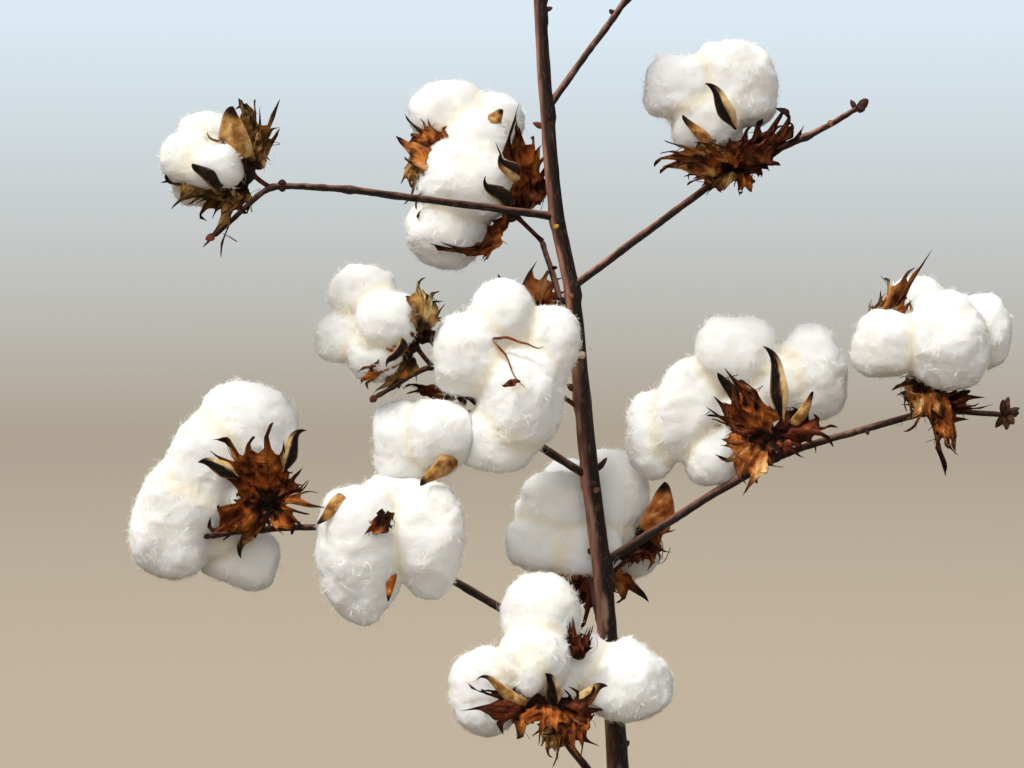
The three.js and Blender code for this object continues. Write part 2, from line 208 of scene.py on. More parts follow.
class Spline:
    """A smooth line through points, the same that the solids follow."""

    def __init__(self, points: list, fit: Fit, tension: float = 0.25) -> None:
        """Takes the points that the line passes."""
        self.points, self.fit, self.tension = np.array(points, float), fit, tension

    def at(self, t: Array) -> Array:
        """The line's points.

        Args:
            t: shares of the way from the first point, 0, to the last, 1.

        Returns:
            One point for each share.
        """
        p = self.points
        ends = np.vstack([2 * p[0] - p[1], p, 2 * p[-1] - p[-2]])
        place = np.clip(np.asarray(t, float), 0, 1) * (len(p) - 1)
        i = np.minimum(place.astype(int), len(p) - 2)
        w = (place - i)[:, None]
        a, b, c, d = ends[i], ends[i + 1], ends[i + 2], ends[i + 3]
        if self.fit is Fit.TAUT:
            m1, m2 = self.tension * (c - a), self.tension * (d - b)
        else:
            k = [np.sqrt(np.linalg.norm(y - x, axis=1))[:, None] for x, y in ((a, b), (b, c), (c, d))]
            m1 = ((b - a) / k[0] - (c - a) / (k[0] + k[1]) + (c - b) / k[1]) * k[1]
            m2 = ((c - b) / k[1] - (d - b) / (k[1] + k[2]) + (d - c) / k[2]) * k[1]
        return b + m1 * w + (-3 * b + 3 * c - 2 * m1 - m2) * w**2 + (2 * b - 2 * c + m1 + m2) * w**3

    def tangent(self, t: Array) -> Array:
        """The line's direction at each share t."""
        step = 1e-3
        return unit(self.at(np.clip(t + step, 0, 1)) - self.at(np.clip(t - step, 0, 1)))


class Shape:
    """Gathers the points and faces of one piece, with a tint and a surface map."""

    def __init__(self) -> None:
        """Starts empty."""
        self.points: list[Array] = []
        self.tints: list[Array] = []
        self.maps: list[Array] = []
        self.faces: list[Array] = []
        self.count = 0

    def add(self, points: Array, faces: list[Array], tints: Array, maps: Array) -> None:
        """Adds points, with faces that count from this call's first point.

        Args:
            points: places in metres.
            faces: arrays of three or four point numbers a row.
            tints: a colour for each point.
            maps: two map numbers for each point.
        """
        self.points.append(points)
        self.tints.append(np.broadcast_to(tints, points.shape))
        self.maps.append(maps)
        self.faces += [f + self.count for f in faces]
        self.count += len(points)

    @staticmethod
    def quads(rows: int, cols: int, around: bool = False) -> Array:
        """The faces between a grid's points, and between its last and first column where around.

        Args:
            rows: how many rows of points.
            cols: how many points in a row.
            around: whether the last column joins the first.

        Returns:
            Four point numbers for each face.
        """
        r, c = np.mgrid[0:rows - 1, 0:cols if around else cols - 1]
        here, right = r * cols + c, r * cols + (c + 1) % cols
        return np.stack([here, right, right + cols, here + cols], -1).reshape(-1, 4)

    def grid(self, points: Array, tints: Array, maps: Array, around: bool = False) -> None:
        """Adds an open sheet, or a tube where around is true.

        Args:
            points: rows and columns of places. Seen from outside, columns run left to right and
                rows run up.
            tints: a colour for each point, or one for all.
            maps: two map numbers for each point.
            around: joins the last column to the first.
        """
        tints = np.broadcast_to(tints, points.shape).reshape(-1, 3)
        faces = self.quads(*points.shape[:2], around)
        self.add(points.reshape(-1, 3), [faces], tints, maps.reshape(-1, 2))

    def tube(self, rings: Array, tints: Array, maps: Array) -> None:
        """Adds a closed tube from its rings, which turn anticlockwise seen from its end.

        Args:
            rings: a row of places for each ring.
            tints: a colour for each place, or one for all.
            maps: two map numbers for each place.
        """
        rows, cols = rings.shape[:2]
        first = self.count
        self.grid(rings, tints, maps, around=True)
        tints = np.broadcast_to(tints, rings.shape)
        for row, flip in ((0, True), (rows - 1, False)):
            start = row * cols + first - self.count
            i = np.arange(cols) + start
            j = np.roll(i, -1)
            hub = np.zeros(cols, int)
            fan = np.stack([j, i, hub] if flip else [i, j, hub], 1)
            self.add(rings[row].mean(0)[None], [fan], tints[row].mean(0)[None], maps[row, :1])

    def leaf(self, front: Array, back: Array, tints: tuple, maps: Array) -> None:
        """Adds a thin closed blade from its two faces.

        Args:
            front: rows and columns of places on the face that looks outwards.
            back: the same on the other face.
            tints: the colours of front and back.
            maps: two map numbers for each point of a face.
        """
        rows, cols = front.shape[:2]
        n = rows * cols
        quads = self.quads(rows, cols)
        ring = np.concatenate([
            np.arange(cols), np.arange(2 * cols - 1, n, cols),
            np.arange(n - 2, n - cols - 1, -1), np.arange(n - 2 * cols, 0, -cols),
        ])
        after = np.roll(ring, -1)
        rim = np.stack([after, ring, ring + n, after + n], 1)
        points = np.concatenate([front.reshape(-1, 3), back.reshape(-1, 3)])
        both = np.concatenate([np.broadcast_to(t, front.shape).reshape(-1, 3) for t in tints])
        self.add(points, [quads, quads[:, ::-1] + n, rim], both, np.tile(maps.reshape(-1, 2), (2, 1)))

    def build(self, name: str, material: Material) -> Object:
        """Makes the piece.

        Args:
            name: the object's name.
            material: its material.

        Returns:
            The new object, smooth shaded, with the attribute "tint" and the map "surface".
        """
        mesh = bpy.data.meshes.new(name)
        points = np.concatenate(self.points)
        corners = np.concatenate([f.ravel() for f in self.faces])
        sizes = np.concatenate([np.full(len(f), f.shape[1]) for f in self.faces])
        mesh.vertices.add(len(points))
        mesh.vertices.foreach_set("co", points.astype(np.float32).ravel())
        mesh.loops.add(len(corners))
        mesh.loops.foreach_set("vertex_index", corners.astype(np.int32))
        mesh.polygons.add(len(sizes))
        mesh.polygons.foreach_set("loop_start", (np.cumsum(sizes) - sizes).astype(np.int32))
        mesh.polygons.foreach_set("loop_total", sizes.astype(np.int32))
        mesh.update(calc_edges=True)
        stain(mesh, np.concatenate(self.tints))
        uv = mesh.uv_layers.new(name="surface")
        uv.data.foreach_set("uv", np.concatenate(self.maps)[corners].astype(np.float32).ravel())
        mesh.polygons.foreach_set("use_smooth", np.ones(len(sizes), bool))
        mesh.materials.append(material)
        mesh.validate()
        return place(bpy.data.objects.new(name, mesh))


def stain(mesh: bpy.types.Mesh, tints: Array) -> None:
    """Keeps a colour for each point of a mesh, as its attribute "tint".

    Args:
        mesh: the mesh.
        tints: its colours.
    """
    layer = mesh.attributes.get("tint") or mesh.attributes.new("tint", "FLOAT_COLOR", "POINT")
    rgba = np.concatenate([tints, np.ones((len(tints), 1))], 1)
    layer.data.foreach_set("color", rgba.astype(np.float32).ravel())


def place(piece: Object) -> Object:
    """Puts an object into the scene."""
    bpy.context.scene.collection.objects.link(piece)
    return piece


def settle(piece: Object) -> None:
    """Turns a piece with modifiers into a plain mesh.

    Args:
        piece: the object.
    """
    graph = bpy.context.evaluated_depsgraph_get()
    made = bpy.data.meshes.new_from_object(piece.evaluated_get(graph), depsgraph=graph)
    old = piece.data
    piece.modifiers.clear()
    piece.data = made
    bpy.data.meshes.remove(old)


def hand_over(piece: Object, slot: str, *nodes: str) -> None:
    """Ties a finished piece to the plant's body and to the solids that it stands for.

    Args:
        piece: the object.
        slot: not used.
        nodes: the solids' names.
    """
    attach(piece, BODY)
    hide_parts(*nodes)
    faces = sum(len(p.vertices) - 2 for p in piece.data.polygons)
    log.info("%s: %d triangles for %s", piece.name, faces, ", ".join(nodes))


# Node trees and finishes.


class NodeSheet:
    """A node tree, with short calls to fill it."""

    NOISE = ("Vector", "Scale", "Detail", "Roughness", "Distortion")

    def __init__(self, tree: bpy.types.NodeTree) -> None:
        """Takes the tree."""
        self.tree = tree

    @staticmethod
    def socket(sockets: object, key: object) -> Socket:
        """A live socket by name or number."""
        live = (s for s in sockets if s.name == key and s.enabled)
        return sockets[key] if isinstance(key, int) else next(live)

    def fill(self, node: bpy.types.Node, inputs: dict) -> bpy.types.Node:
        """Sets a node's inputs.

        Args:
            node: the node.
            inputs: sockets, values or a colour's text, by input name or number.

        Returns:
            The same node.
        """
        for key, value in inputs.items():
            socket = self.socket(node.inputs, key)
            if isinstance(value, Socket):
                self.tree.links.new(value, socket)
            else:
                socket.default_value = (*colour(value), 1) if isinstance(value, str) else value
        return node

    def node(self, kind: str, inputs: dict | None = None, **settings: object) -> bpy.types.Node:
        """Adds a node.

        Args:
            kind: its type.
            inputs: what fill takes.
            settings: its properties.

        Returns:
            The node.
        """
        made = self.tree.nodes.new(kind)
        for key, value in settings.items():
            setattr(made, key, value)
        return self.fill(made, inputs or {})

    def noise(self, vector: Socket, scale: float, detail: float, rough: float = 0.6,
              swirl: float = 0.0) -> Socket:
        """Noise over a vector."""
        inputs = dict(zip(self.NOISE, (vector, scale, detail, rough, swirl)))
        return self.node("ShaderNodeTexNoise", inputs).outputs["Fac"]

    def range(self, value: Socket, *ends: float) -> Socket:
        """Maps a value from ends[0]..ends[1] to ends[2]..ends[3]."""
        names = ("Value", "From Min", "From Max", "To Min", "To Max")
        return self.node("ShaderNodeMapRange", dict(zip(names, (value, *ends)))).outputs["Result"]

    def mixed(self, a: object, b: object, share: Socket) -> Socket:
        """Mixes two colours by a share."""
        made = self.node("ShaderNodeMix", {"Factor": share, "A": a, "B": b}, data_type="RGBA")
        return self.socket(made.outputs, "Result")

    def coordinate(self, source: str) -> Socket:
        """A point's place: Object, Generated or UV."""
        return self.node("ShaderNodeTexCoord").outputs[source]

    def height(self, source: str) -> Socket:
        """The last number of a point's place."""
        return self.node("ShaderNodeSeparateXYZ", {0: self.coordinate(source)}).outputs["Z"]


class ShaderSheet(NodeSheet):
    """A material's node tree."""

    def __init__(self, name: str) -> None:
        """Makes a material with one principled shader.

        Args:
            name: the material's name.
        """
        self.material = bpy.data.materials.new(name)
        self.material.use_nodes = True
        super().__init__(self.material.node_tree)
        self.shader = self.tree.nodes["Principled BSDF"]

    def stretched(self, source: str = "Object", scale: tuple = (1.0, 1.0, 1.0)) -> Socket:
        """A point's place, scaled on each axis."""
        inputs = {"Vector": self.coordinate(source), "Scale": scale}
        return self.node("ShaderNodeMapping", inputs).outputs["Vector"]

    def tint(self) -> Socket:
        """The piece's own tint."""
        return self.node("ShaderNodeAttribute", attribute_name="tint").outputs["Color"]

    def bump(self, height: Socket, distance: float, strength: float) -> None:
        """Raises the shader's surface by a height."""
        made = self.node("ShaderNodeBump", {"Height": height, "Distance": distance, "Strength": strength})
        self.set(Normal=made.outputs["Normal"])

    def set(self, **inputs: object) -> None:
        """Sets the shader's own inputs, with _ for a space in their names."""
        self.fill(self.shader, {key.replace("_", " "): value for key, value in inputs.items()})

    def show(self, surface: Socket) -> None:
        """Makes a surface the material's result."""
        self.fill(self.tree.nodes["Material Output"], {"Surface": surface})


@dataclass(frozen=True)
class BarkFinish:
    """Dry woody bark: fine lengthwise streaks over the tint."""

    name: str = "bark"
    streaks: float = 900.0
    specks: float = 1500.0
    roughness: float = 0.62
    relief: float = 0.0005
    worn: str = "b08e74"
    soot: str = "1c0d0a"

    def make(self) -> Material:
        """Builds the finish.

        Returns:
            Its material.
        """
        sheet = ShaderSheet(self.name)
        streak = sheet.noise(sheet.stretched("UV", (1.0, 0.16, 1.0)), self.streaks, 4)
        speck = sheet.noise(sheet.stretched(), self.specks, 2)
        base = sheet.mixed(sheet.tint(), self.worn, sheet.range(streak, 0.54, 0.78, 0, 0.3))
        base = sheet.mixed(base, self.soot, sheet.range(speck, 0.6, 0.75, 0, 0.6))
        sheet.bump(streak, self.relief, 0.7)
        sheet.set(Base_Color=base, Roughness=self.roughness, Specular_IOR_Level=0.2)
        return sheet.material


@dataclass(frozen=True)
class HuskFinish:
    """Dry leaf or boll wall: blotched tint, fine wrinkles, a little light through it."""

    name: str
    blotches: float = 260.0
    grain: float = 700.0
    wrinkles: float = 430.0
    relief: float = 0.0022
    glow: float = 0.12
    roughness: float = 0.7
    soot: str = "1e0a05"
    straw: str = "d09450"

    def make(self) -> Material:
        """Builds the finish.

        Returns:
            Its material.
        """
        sheet = ShaderSheet(self.name)
        spot = sheet.stretched()
        blotch = sheet.noise(spot, self.blotches, 3)
        grain = sheet.noise(sheet.stretched("UV", (1.0, 0.3, 1.0)), self.grain, 4)
        base = sheet.mixed(sheet.tint(), self.soot, sheet.range(blotch, 0.54, 0.74, 0, 0.45))
        base = sheet.mixed(base, self.straw, sheet.range(grain, 0.56, 0.8, 0, 0.25))
        sheet.bump(sheet.noise(spot, self.wrinkles, 5, 0.7), self.relief, 0.9)
        sheet.set(
            Base_Color=base, Roughness=self.roughness, Specular_IOR_Level=0.15,
            Subsurface_Weight=self.glow, Subsurface_Radius=(1.0, 0.45, 0.2), Subsurface_Scale=0.002,
        )
        return sheet.material


@dataclass(frozen=True)
class LockFinish:
    """White cotton: soft, with light that wanders under its surface and a fibrous nap."""

    name: str = "cotton_lock"
    nap: float = 520.0
    relief: float = 0.0011
    white: str = "fdfbf6"

    def make(self) -> Material:
        """Builds the finish.

        Returns:
            Its material.
        """
        sheet = ShaderSheet(self.name)
        fibres = sheet.noise(sheet.stretched(), self.nap, 8, 0.75, 2.2)
        base = sheet.mixed(sheet.tint(), self.white, sheet.range(fibres, 0.45, 0.7, 0, 0.4))
        sheet.bump(fibres, self.relief, 0.7)
        sheet.set(
            Base_Color=base, Roughness=1.0, Specular_IOR_Level=0.05, Subsurface_Weight=1.0,
            Subsurface_Radius=(1.0, 0.88, 0.76), Subsurface_Scale=0.008, Sheen_Weight=0.25,
            Sheen_Roughness=0.6,
        )
        return sheet.material


@dataclass(frozen=True)
class LintFinish:
    """Loose fibres: one plain colour."""

    name: str = "cotton_lint"
    tint: str = "fbf9f3"

    def make(self) -> Material:
        """Builds the finish.

        Returns:
            Its material.
        """
        sheet = ShaderSheet(self.name)
        sheet.set(Base_Color=self.tint, Roughness=1.0, Specular_IOR_Level=0.0)
        return sheet.material


class GeometryTree(NodeSheet):
    """A Geometry Nodes tree with named inputs."""

    def __init__(self, name: str) -> None:
        """Makes a tree with geometry in and out.

        Args:
            name: the tree's name.
        """
        super().__init__(bpy.data.node_groups.new(name, "GeometryNodeTree"))
        for way in ("INPUT", "OUTPUT"):
            self.tree.interface.new_socket("Geometry", in_out=way, socket_type="NodeSocketGeometry")
        self.source = self.tree.nodes.new("NodeGroupInput")
        self.end = self.tree.nodes.new("NodeGroupOutput")

    def value(self, name: str, default: object, kind: str = "NodeSocketFloat") -> Socket:
        """Adds a named input and returns its socket inside the tree.

        Args:
            name: the input's name.
            default: its value where none is set.
            kind: its socket's type.

        Returns:
            The socket.
        """
        socket = self.tree.interface.new_socket(name, in_out="INPUT", socket_type=kind)
        if default is not None:
            socket.default_value = default
        return next(s for s in self.source.outputs if s.name == name)

    def math(self, operation: str, a: object, b: object) -> Socket:
        """A sum, product or other operation on two numbers."""
        return self.node("ShaderNodeMath", {0: a, 1: b}, operation=operation).outputs[0]

    def times(self, a: object, b: object) -> Socket:
        """A product."""
        return self.math("MULTIPLY", a, b)

    def random(self, low: object, high: object, seed: int) -> Socket:
        """A random number between two ends for each point."""
        made = self.node("FunctionNodeRandomValue", {"Min": low, "Max": high, "Seed": seed})
        return self.socket(made.outputs, "Value")

    def vector(self, x: object, y: object, z: object) -> Socket:
        """A vector from three numbers."""
        return self.node("ShaderNodeCombineXYZ", {"X": x, "Y": y, "Z": z}).outputs[0]

    def position(self) -> Socket:
        """Each point's place."""
        return self.node("GeometryNodeInputPosition").outputs[0]

    def finish(self, geometry: Socket, material: Socket) -> None:
        """Ends the tree with Realize Instances and Set Material.

        Args:
            geometry: what the tree makes.
            material: its material.
        """
        real = self.node("GeometryNodeRealizeInstances", {"Geometry": geometry})
        painted = self.node("GeometryNodeSetMaterial", {"Geometry": real.outputs[0], "Material": material})
        self.fill(self.end, {0: painted.outputs[0]})

    def put_on(self, piece: Object, values: dict) -> None:
        """Adds the tree to a piece as a modifier, with inputs set by their identifiers.

        Args:
            piece: the object.
            values: the inputs' values by name.
        """
        modifier = piece.modifiers.new(self.tree.name, "NODES")
        modifier.node_group = self.tree
        sockets = {s.name: s.identifier for s in self.tree.interface.items_tree if s.in_out == "INPUT"}
        for name, value in values.items():
            modifier[sockets[name]] = value


@dataclass(frozen=True)
class LintTree:
    """Grows loose fibres on a lock or a husk, in metres."""

    name: str
    length: float
    width: float
    per_area: float
    lift: float
    steps: int
    bow: float = 0.22
    wander: float = 0.9

    def make(self) -> GeometryTree:
        """Builds the tree.

        Returns:
            A tree with the inputs Length, Width, Per Area, Lift, Seed and Material.
        """
        g = GeometryTree(self.name)
        length = g.value("Length", self.length)
        width = g.value("Width", self.width)
        area = g.value("Per Area", self.per_area)
        lift = g.value("Lift", self.lift)
        seed = g.value("Seed", 0, "NodeSocketInt")
        paint = g.value("Material", None, "NodeSocketMaterial")
        spots = g.node("GeometryNodeDistributePointsOnFaces", {
            "Mesh": g.source.outputs[0], "Density": area, "Seed": seed,
        }, distribute_method="RANDOM")
        line = g.node("GeometryNodeCurveQuadraticBezier", {
            "Resolution": self.steps,
            "Start": g.vector(g.times(length, -0.3), 0.0, g.times(length, -0.06)),
            "Middle": g.vector(g.times(length, 0.2), g.times(length, 0.12), g.times(length, self.bow)),
            "End": g.vector(g.times(length, 0.7), 0.0, g.times(length, 0.02)),
        })
        along = g.node("GeometryNodeSplineParameter").outputs["Factor"]
        thin = g.math("SUBTRACT", 1.0, g.times(along, 0.75))
        tapered = g.node("GeometryNodeSetCurveRadius", {"Curve": line.outputs[0], "Radius": thin})
        half = g.times(width, 0.5)
        across = g.node("GeometryNodeCurvePrimitiveLine", {
            "Start": g.vector(g.times(half, -1.0), 0.0, 0.0), "End": g.vector(half, 0.0, 0.0),
        })
        ribbon = g.node("GeometryNodeCurveToMesh", {
            "Curve": tapered.outputs[0], "Profile Curve": across.outputs[0],
        })
        flow = g.times(g.noise(g.position(), 45.0, 1.0, 0.5), 18.0)
        turn = g.math("ADD", flow, g.random(-self.wander, self.wander, 3))
        tilt = g.times(g.random(0.0, 1.0, 7), g.times(lift, -1.0))
        lean = g.random(-0.3 - self.bow, 0.3 + self.bow, 11)
        spin = g.node("FunctionNodeEulerToRotation", {0: g.vector(lean, tilt, turn)})
        stand = g.node("FunctionNodeRotateRotation", {
            "Rotation": spots.outputs["Rotation"], "Rotate By": spin.outputs[0],
        }, rotation_space="LOCAL")
        size = g.random(0.5, 1.25, 17)
        grown = g.node("GeometryNodeInstanceOnPoints", {
            "Points": spots.outputs["Points"], "Instance": ribbon.outputs[0],
            "Rotation": stand.outputs[0], "Scale": g.vector(size, size, g.random(0.4, 1.6, 19)),
        })
        g.finish(grown.outputs[0], paint)
        return g


THREADS = LintTree(
    "threads", length=0.012, width=0.0004, per_area=1500, lift=0.9, steps=6, bow=0.9, wander=3.0)
LINT = [
    LintTree("lint", length=0.0044, width=0.00014, per_area=70000, lift=0.45, steps=3),
    LintTree("fuzz", length=0.0031, width=0.0002, per_area=170000, lift=0.95, steps=1, bow=0.3),
    LintTree("wisps", length=0.0070, width=0.00012, per_area=20000, lift=0.5, steps=4, bow=0.8),
]


@dataclass(frozen=True)
class NapTree:
    """Raises a lock's surface into soft lumps and fine tufts, in metres."""

    lump: float = 0.0024
    tuft: float = 0.0014

    def make(self) -> GeometryTree:
        """Builds the tree.

        Returns:
            A tree with the inputs Lump, Tuft and Material.
        """
        g = GeometryTree("cotton_nap")
        lump = g.value("Lump", self.lump)
        tuft = g.value("Tuft", self.tuft)
        paint = g.value("Material", None, "NodeSocketMaterial")
        spot = g.position()
        wide = g.math("SUBTRACT", g.noise(spot, 62.0, 2.0, 0.5), 0.5)
        fine = g.math("SUBTRACT", g.noise(spot, 190.0, 3.0, 0.55), 0.5)
        rise = g.math("ADD", g.times(wide, g.times(lump, 2.0)), g.times(fine, g.times(tuft, 2.0)))
        normal = g.node("GeometryNodeInputNormal").outputs[0]
        offset = g.node("ShaderNodeVectorMath", {0: normal, 3: rise}, operation="SCALE")
        moved = g.node("GeometryNodeSetPosition", {
            "Geometry": g.source.outputs[0], "Offset": offset.outputs[0],
        })
        g.finish(moved.outputs[0], paint)
        return g


# Wood.


STEM_LINE = [
    (0, 0, 0), (-3, 2, 90), (-8, 4, 190), (-12, 2, 287), (-18, 0, 363), (-21, 0, 401), (-28, 0, 457),
    (-33, 0, 504), (-39, 0, 565), (-48, 0, 610), (-54, 0, 672), (-58, 0, 735), (-61, 3, 810),
    (-67, 2, 890), (-70, -2, 960),
]


@dataclass
class Bark:
    """The tints of dry bark, dark to light."""

    deep: str = "120806"
    warm: str = "20100b"
    dull: str = "322018"
    pale: str = "96775f"
    # The last two tints are painted light: the paler colour of the stem's sunlit side and of the limbs'
    # upper sides.
    painted_light_stem: str = "b8806c"
    painted_light_limb: str = "aa7864"

    def tints(self, points: Array, joint: Array, seed: int) -> Array:
        """Tints for a limb's points.

        Args:
            points: places in metres, with the limb's run as their last number.
            joint: closeness to a joint, 0 to 1, for each point.
            seed: picks another pattern.

        Returns:
            A colour for each point.
        """
        patch = noise(points * [1, 1, 0.35], 0.009, seed)
        streak = noise(points * [1, 1, 0.1], 0.0022, seed + 1)
        return coated(
            self.warm,
            (self.dull, smooth(-0.5, 0.7, patch + streak * 0.5)),
            (self.pale, smooth(0.45, 1.0, streak + patch * 0.4) * 0.55),
            (self.deep, smooth(0.15, 0.8, -patch - streak * 0.3) * 0.8),
            (self.deep, joint * 0.55),
        )


@dataclass(frozen=True)
class Bud:
    """A bud, nub, thorn or scar on the wood.

    Its height is in millimetres on the stem and in hundredths of the way along a limb.
    """

    height: float
    turn: float
    rise: float
    length: float
    width: float
    tint: str = "35170f"
    blunt: float = 0.6
    soot: str = "120605"
    sides: int = 9
    rings: int = 9

    def add(self, shape: Shape, foot: Array) -> None:
        """Adds the bud to a shape, with its foot at a point in millimetres.

        Args:
            shape: what it is added to.
            foot: the point.
        """
        axis = direction(self.turn, self.rise)
        across = unit(np.cross(axis, UP + 0.001))
        t = np.linspace(0, 1, self.rings)
        radius = self.width / 2 * (1 - t**2) ** self.blunt * (0.8 + 0.35 * np.sin(t * math.pi)) + 0.05
        around = turns(self.sides)
        ring = hoop(across, np.cross(across, axis), around)
        rings = foot + axis * (t * self.length)[:, None, None] + ring[None] * radius[:, None, None]
        rings += ring[None] * (noise(rings, 1.3, 3) * 0.18 * self.width / 3)[..., None]
        tint = coated(self.tint, (self.soot, smooth(-0.2, 0.8, noise(rings, 1.8, 4)) * 0.7))
        shape.tube(rings * MM, tint, pairs(around[None], t[:, None]) * 0.003)


STEM_BUDS = [
    Bud(662, 178, 24, 6, 3.4, "6a2c1c"), Bud(605, -112, 10, 1.6, 4.2, "b8922e"),
    Bud(565, -96, 6, 1.3, 4.6, "8a5644"), Bud(510, 176, 34, 5, 4.2, "4a2216"),
    Bud(463, 4, 52, 9, 3.4, "2a110b"), Bud(402, -92, 6, 0.9, 2.6, "c9ad8c"),
    Bud(667, -58, -10, 1.6, 5, "1c0a07"), Bud(729, 2, 20, 4.5, 3, "5a2618"),
    Bud(452, -64, 8, 1.2, 4.4, "8a5a40"), Bud(414, 150, 30, 4, 4, "4a2418"),
    Bud(345, -30, 20, 3, 4.4, "55301f"), Bud(300, 30, 30, 4, 4, "4a2418"),
    Bud(236, -150, 30, 4.5, 4.6, "4a2418"), Bud(172, -40, 20, 3, 5, "55301f"),
    Bud(128, 80, 30, 4, 5, "4a2418"), Bud(70, -120, 10, 2, 6, "6a4632"),
    Bud(530, -70, 0, 0.9, 5, "c9b29c"), Bud(770, -170, 30, 5, 2.8, "5a2618"),
    Bud(828, 20, 30, 4, 2.6, "5a2618"), Bud(905, -100, 40, 5, 2.6, "4a2016"),
    Bud(934, 60, 40, 5, 2.4, "4a2016"), Bud(955, -60, 78, 11, 4.6, "3c1a10"),
    Bud(953, 130, 60, 8, 3.4, "4a2016"),
]


@dataclass(frozen=True)
class Peel:
    """A pale patch where the bark has weathered off."""

    height: float
    turn: float
    tall: float
    wide: float
    tint: str = "c4ab96"

    def share(self, z: Array, around: Array) -> Array:
        """How strongly the patch shows at heights and turns, 0 to 1."""
        off = (around - math.radians(self.turn) + math.pi) % (2 * math.pi) - math.pi
        return np.exp(-((z - self.height) / self.tall) ** 2 - (off / math.radians(self.wide)) ** 2)


STEM_PEELS = [
    Peel(536, -112, 9, 34), Peel(548, -100, 4, 22), Peel(492, -130, 12, 26, "9c8068"),
    Peel(430, -118, 16, 24, "9c8068"), Peel(590, -140, 14, 26, "a5745c"),
    Peel(640, -150, 20, 30, "a5745c"), Peel(380, -100, 12, 26, "8f765f"),
    Peel(705, -150, 22, 30, "b08272"), Peel(330, -140, 18, 24, "8f765f"),
    Peel(270, -80, 22, 24, "9c8068"), Peel(210, -130, 20, 26, "8f765f"),
    Peel(140, -60, 24, 24, "8f765f"), Peel(60, -100, 20, 30, "8f765f"),
    Peel(790, -120, 24, 30, "9a6a54"), Peel(880, 170, 24, 30, "9a6a54"),
]


@dataclass
class Stem:
    """The main stem: tapering, leaning, flared at the foot, with joints, scars and ridges."""

    bark: Bark
    foot_diameter: float = 16.2
    tip_diameter: float = 4.4
    flare: float = 5.0
    flare_height: float = 16.0
    sides: int = 26
    rings: int = 420
    ridges: int = 5
    joint_swell: float = 0.22
    joint_length: float = 5.5
    collar: float = 0.12
    collar_below: float = 5.0
    collar_length: float = 2.2
    sun_turn: float = 188.0
    search_steps: int = 30
    line: Spline = field(default_factory=lambda: Spline(STEM_LINE, Fit.EVEN))

    def point(self, height: float) -> Array:
        """The point of the stem's line at a height, in millimetres.

        Args:
            height: the height.

        Returns:
            The point.
        """
        low, high = 0.0, 1.0
        for _ in range(self.search_steps):
            middle = (low + high) / 2
            if self.line.at(np.array([middle]))[0, 2] < height:
                low = middle
            else:
                high = middle
        return self.line.at(np.array([low]))[0]

    def radius(self, height: Array) -> Array:
        """The bare taper and flare at each height, in millimetres.

        Args:
            height: the heights.

        Returns:
            A radius for each.
        """
        share = np.asarray(height) / STEM_LINE[-1][2]
        taper = (self.foot_diameter * (1 - share) + self.tip_diameter * share) / 2
        return taper + self.flare * np.exp(-np.asarray(height) / self.flare_height)

    def build(self, joints: list[tuple[float, float]], material: Material) -> Object:
        """Makes the stem.

        Args:
            joints: the height and turn of each limb that leaves it.
            material: the bark.

        Returns:
            The finished piece.
        """
        t = np.linspace(0, 1, self.rings)
        centres = self.line.at(t)
        centres[0, 2] = 0
        z = centres[:, 2]
        around = turns(self.sides)
        radius = np.repeat(self.radius(z)[:, None], self.sides, 1)
        near = np.zeros_like(radius)
        for height, turn in joints:
            ring = np.exp(-((z - height) / self.joint_length) ** 2)[:, None]
            facing = np.cos(around - math.radians(turn))[None]
            past = (z - height + self.collar_below) / self.collar_length
            collar = np.exp(-(past**2))[:, None] * self.collar
            swell = self.joint_swell * ring * (0.45 + 0.55 * facing)
            radius *= 1 + swell + collar * smooth(-0.4, 1, facing)
            near = np.maximum(near, ring * smooth(-0.8, 0.8, facing))
        twist = around[None] + z[:, None] * 0.004
        radius *= 1 + 0.03 * np.cos(self.ridges * twist) + 0.012 * np.cos(11 * twist + z[:, None] * 0.02)
        dirs = hoop(RIGHT, AWAY, around)[None]
        rings = centres[:, None] + dirs * radius[..., None]
        rough = noise(rings * [1, 1, 0.3], 2.2, 5) * 0.16 + noise(rings * [1, 1, 0.25], 6, 6) * 0.22
        rings = (rings + dirs * (rough * np.minimum(radius / 5, 1))[..., None]) * MM
        rings[0, :, 2] = 0
        grain = smooth(-0.5, 0.4, noise(rings * [1, 1, 0.15], 0.0016, 11))
        # Painted light: the side facing sun_turn is painted paler and the far side painted darker. This
        # stands for sunlight and shade on the stem.
        sunny = np.cos(around - math.radians(self.sun_turn))[None]
        sunny = sunny + 0.25 * noise(rings * [1, 1, 0.3], 0.006, 12)
        peels = ((p.tint, p.share(z[:, None], around[None]) * (0.6 + 0.6 * grain)) for p in STEM_PEELS)
        tints = coated(
            self.bark.tints(rings, near, 3),
            (self.bark.painted_light_stem, smooth(0.3, 0.95, sunny) * (0.35 + 0.5 * grain)),
            (self.bark.deep, smooth(-0.55, 0.2, -sunny) * 0.8),
            *((tint, smooth(0.3, 0.7, share) * 0.85) for tint, share in peels),
        )
        shape = Shape()
        shape.tube(rings, tints, pairs(around[None] * radius * MM, z[:, None] * MM))
        for bud in STEM_BUDS:
            out = direction(bud.turn, 0) * (float(self.radius(bud.height)) - 0.6)
            bud.add(shape, self.point(bud.height) + out)
        piece = shape.build("stem_bark", material)
        hand_over(piece, "bark", "stem")
        return piece


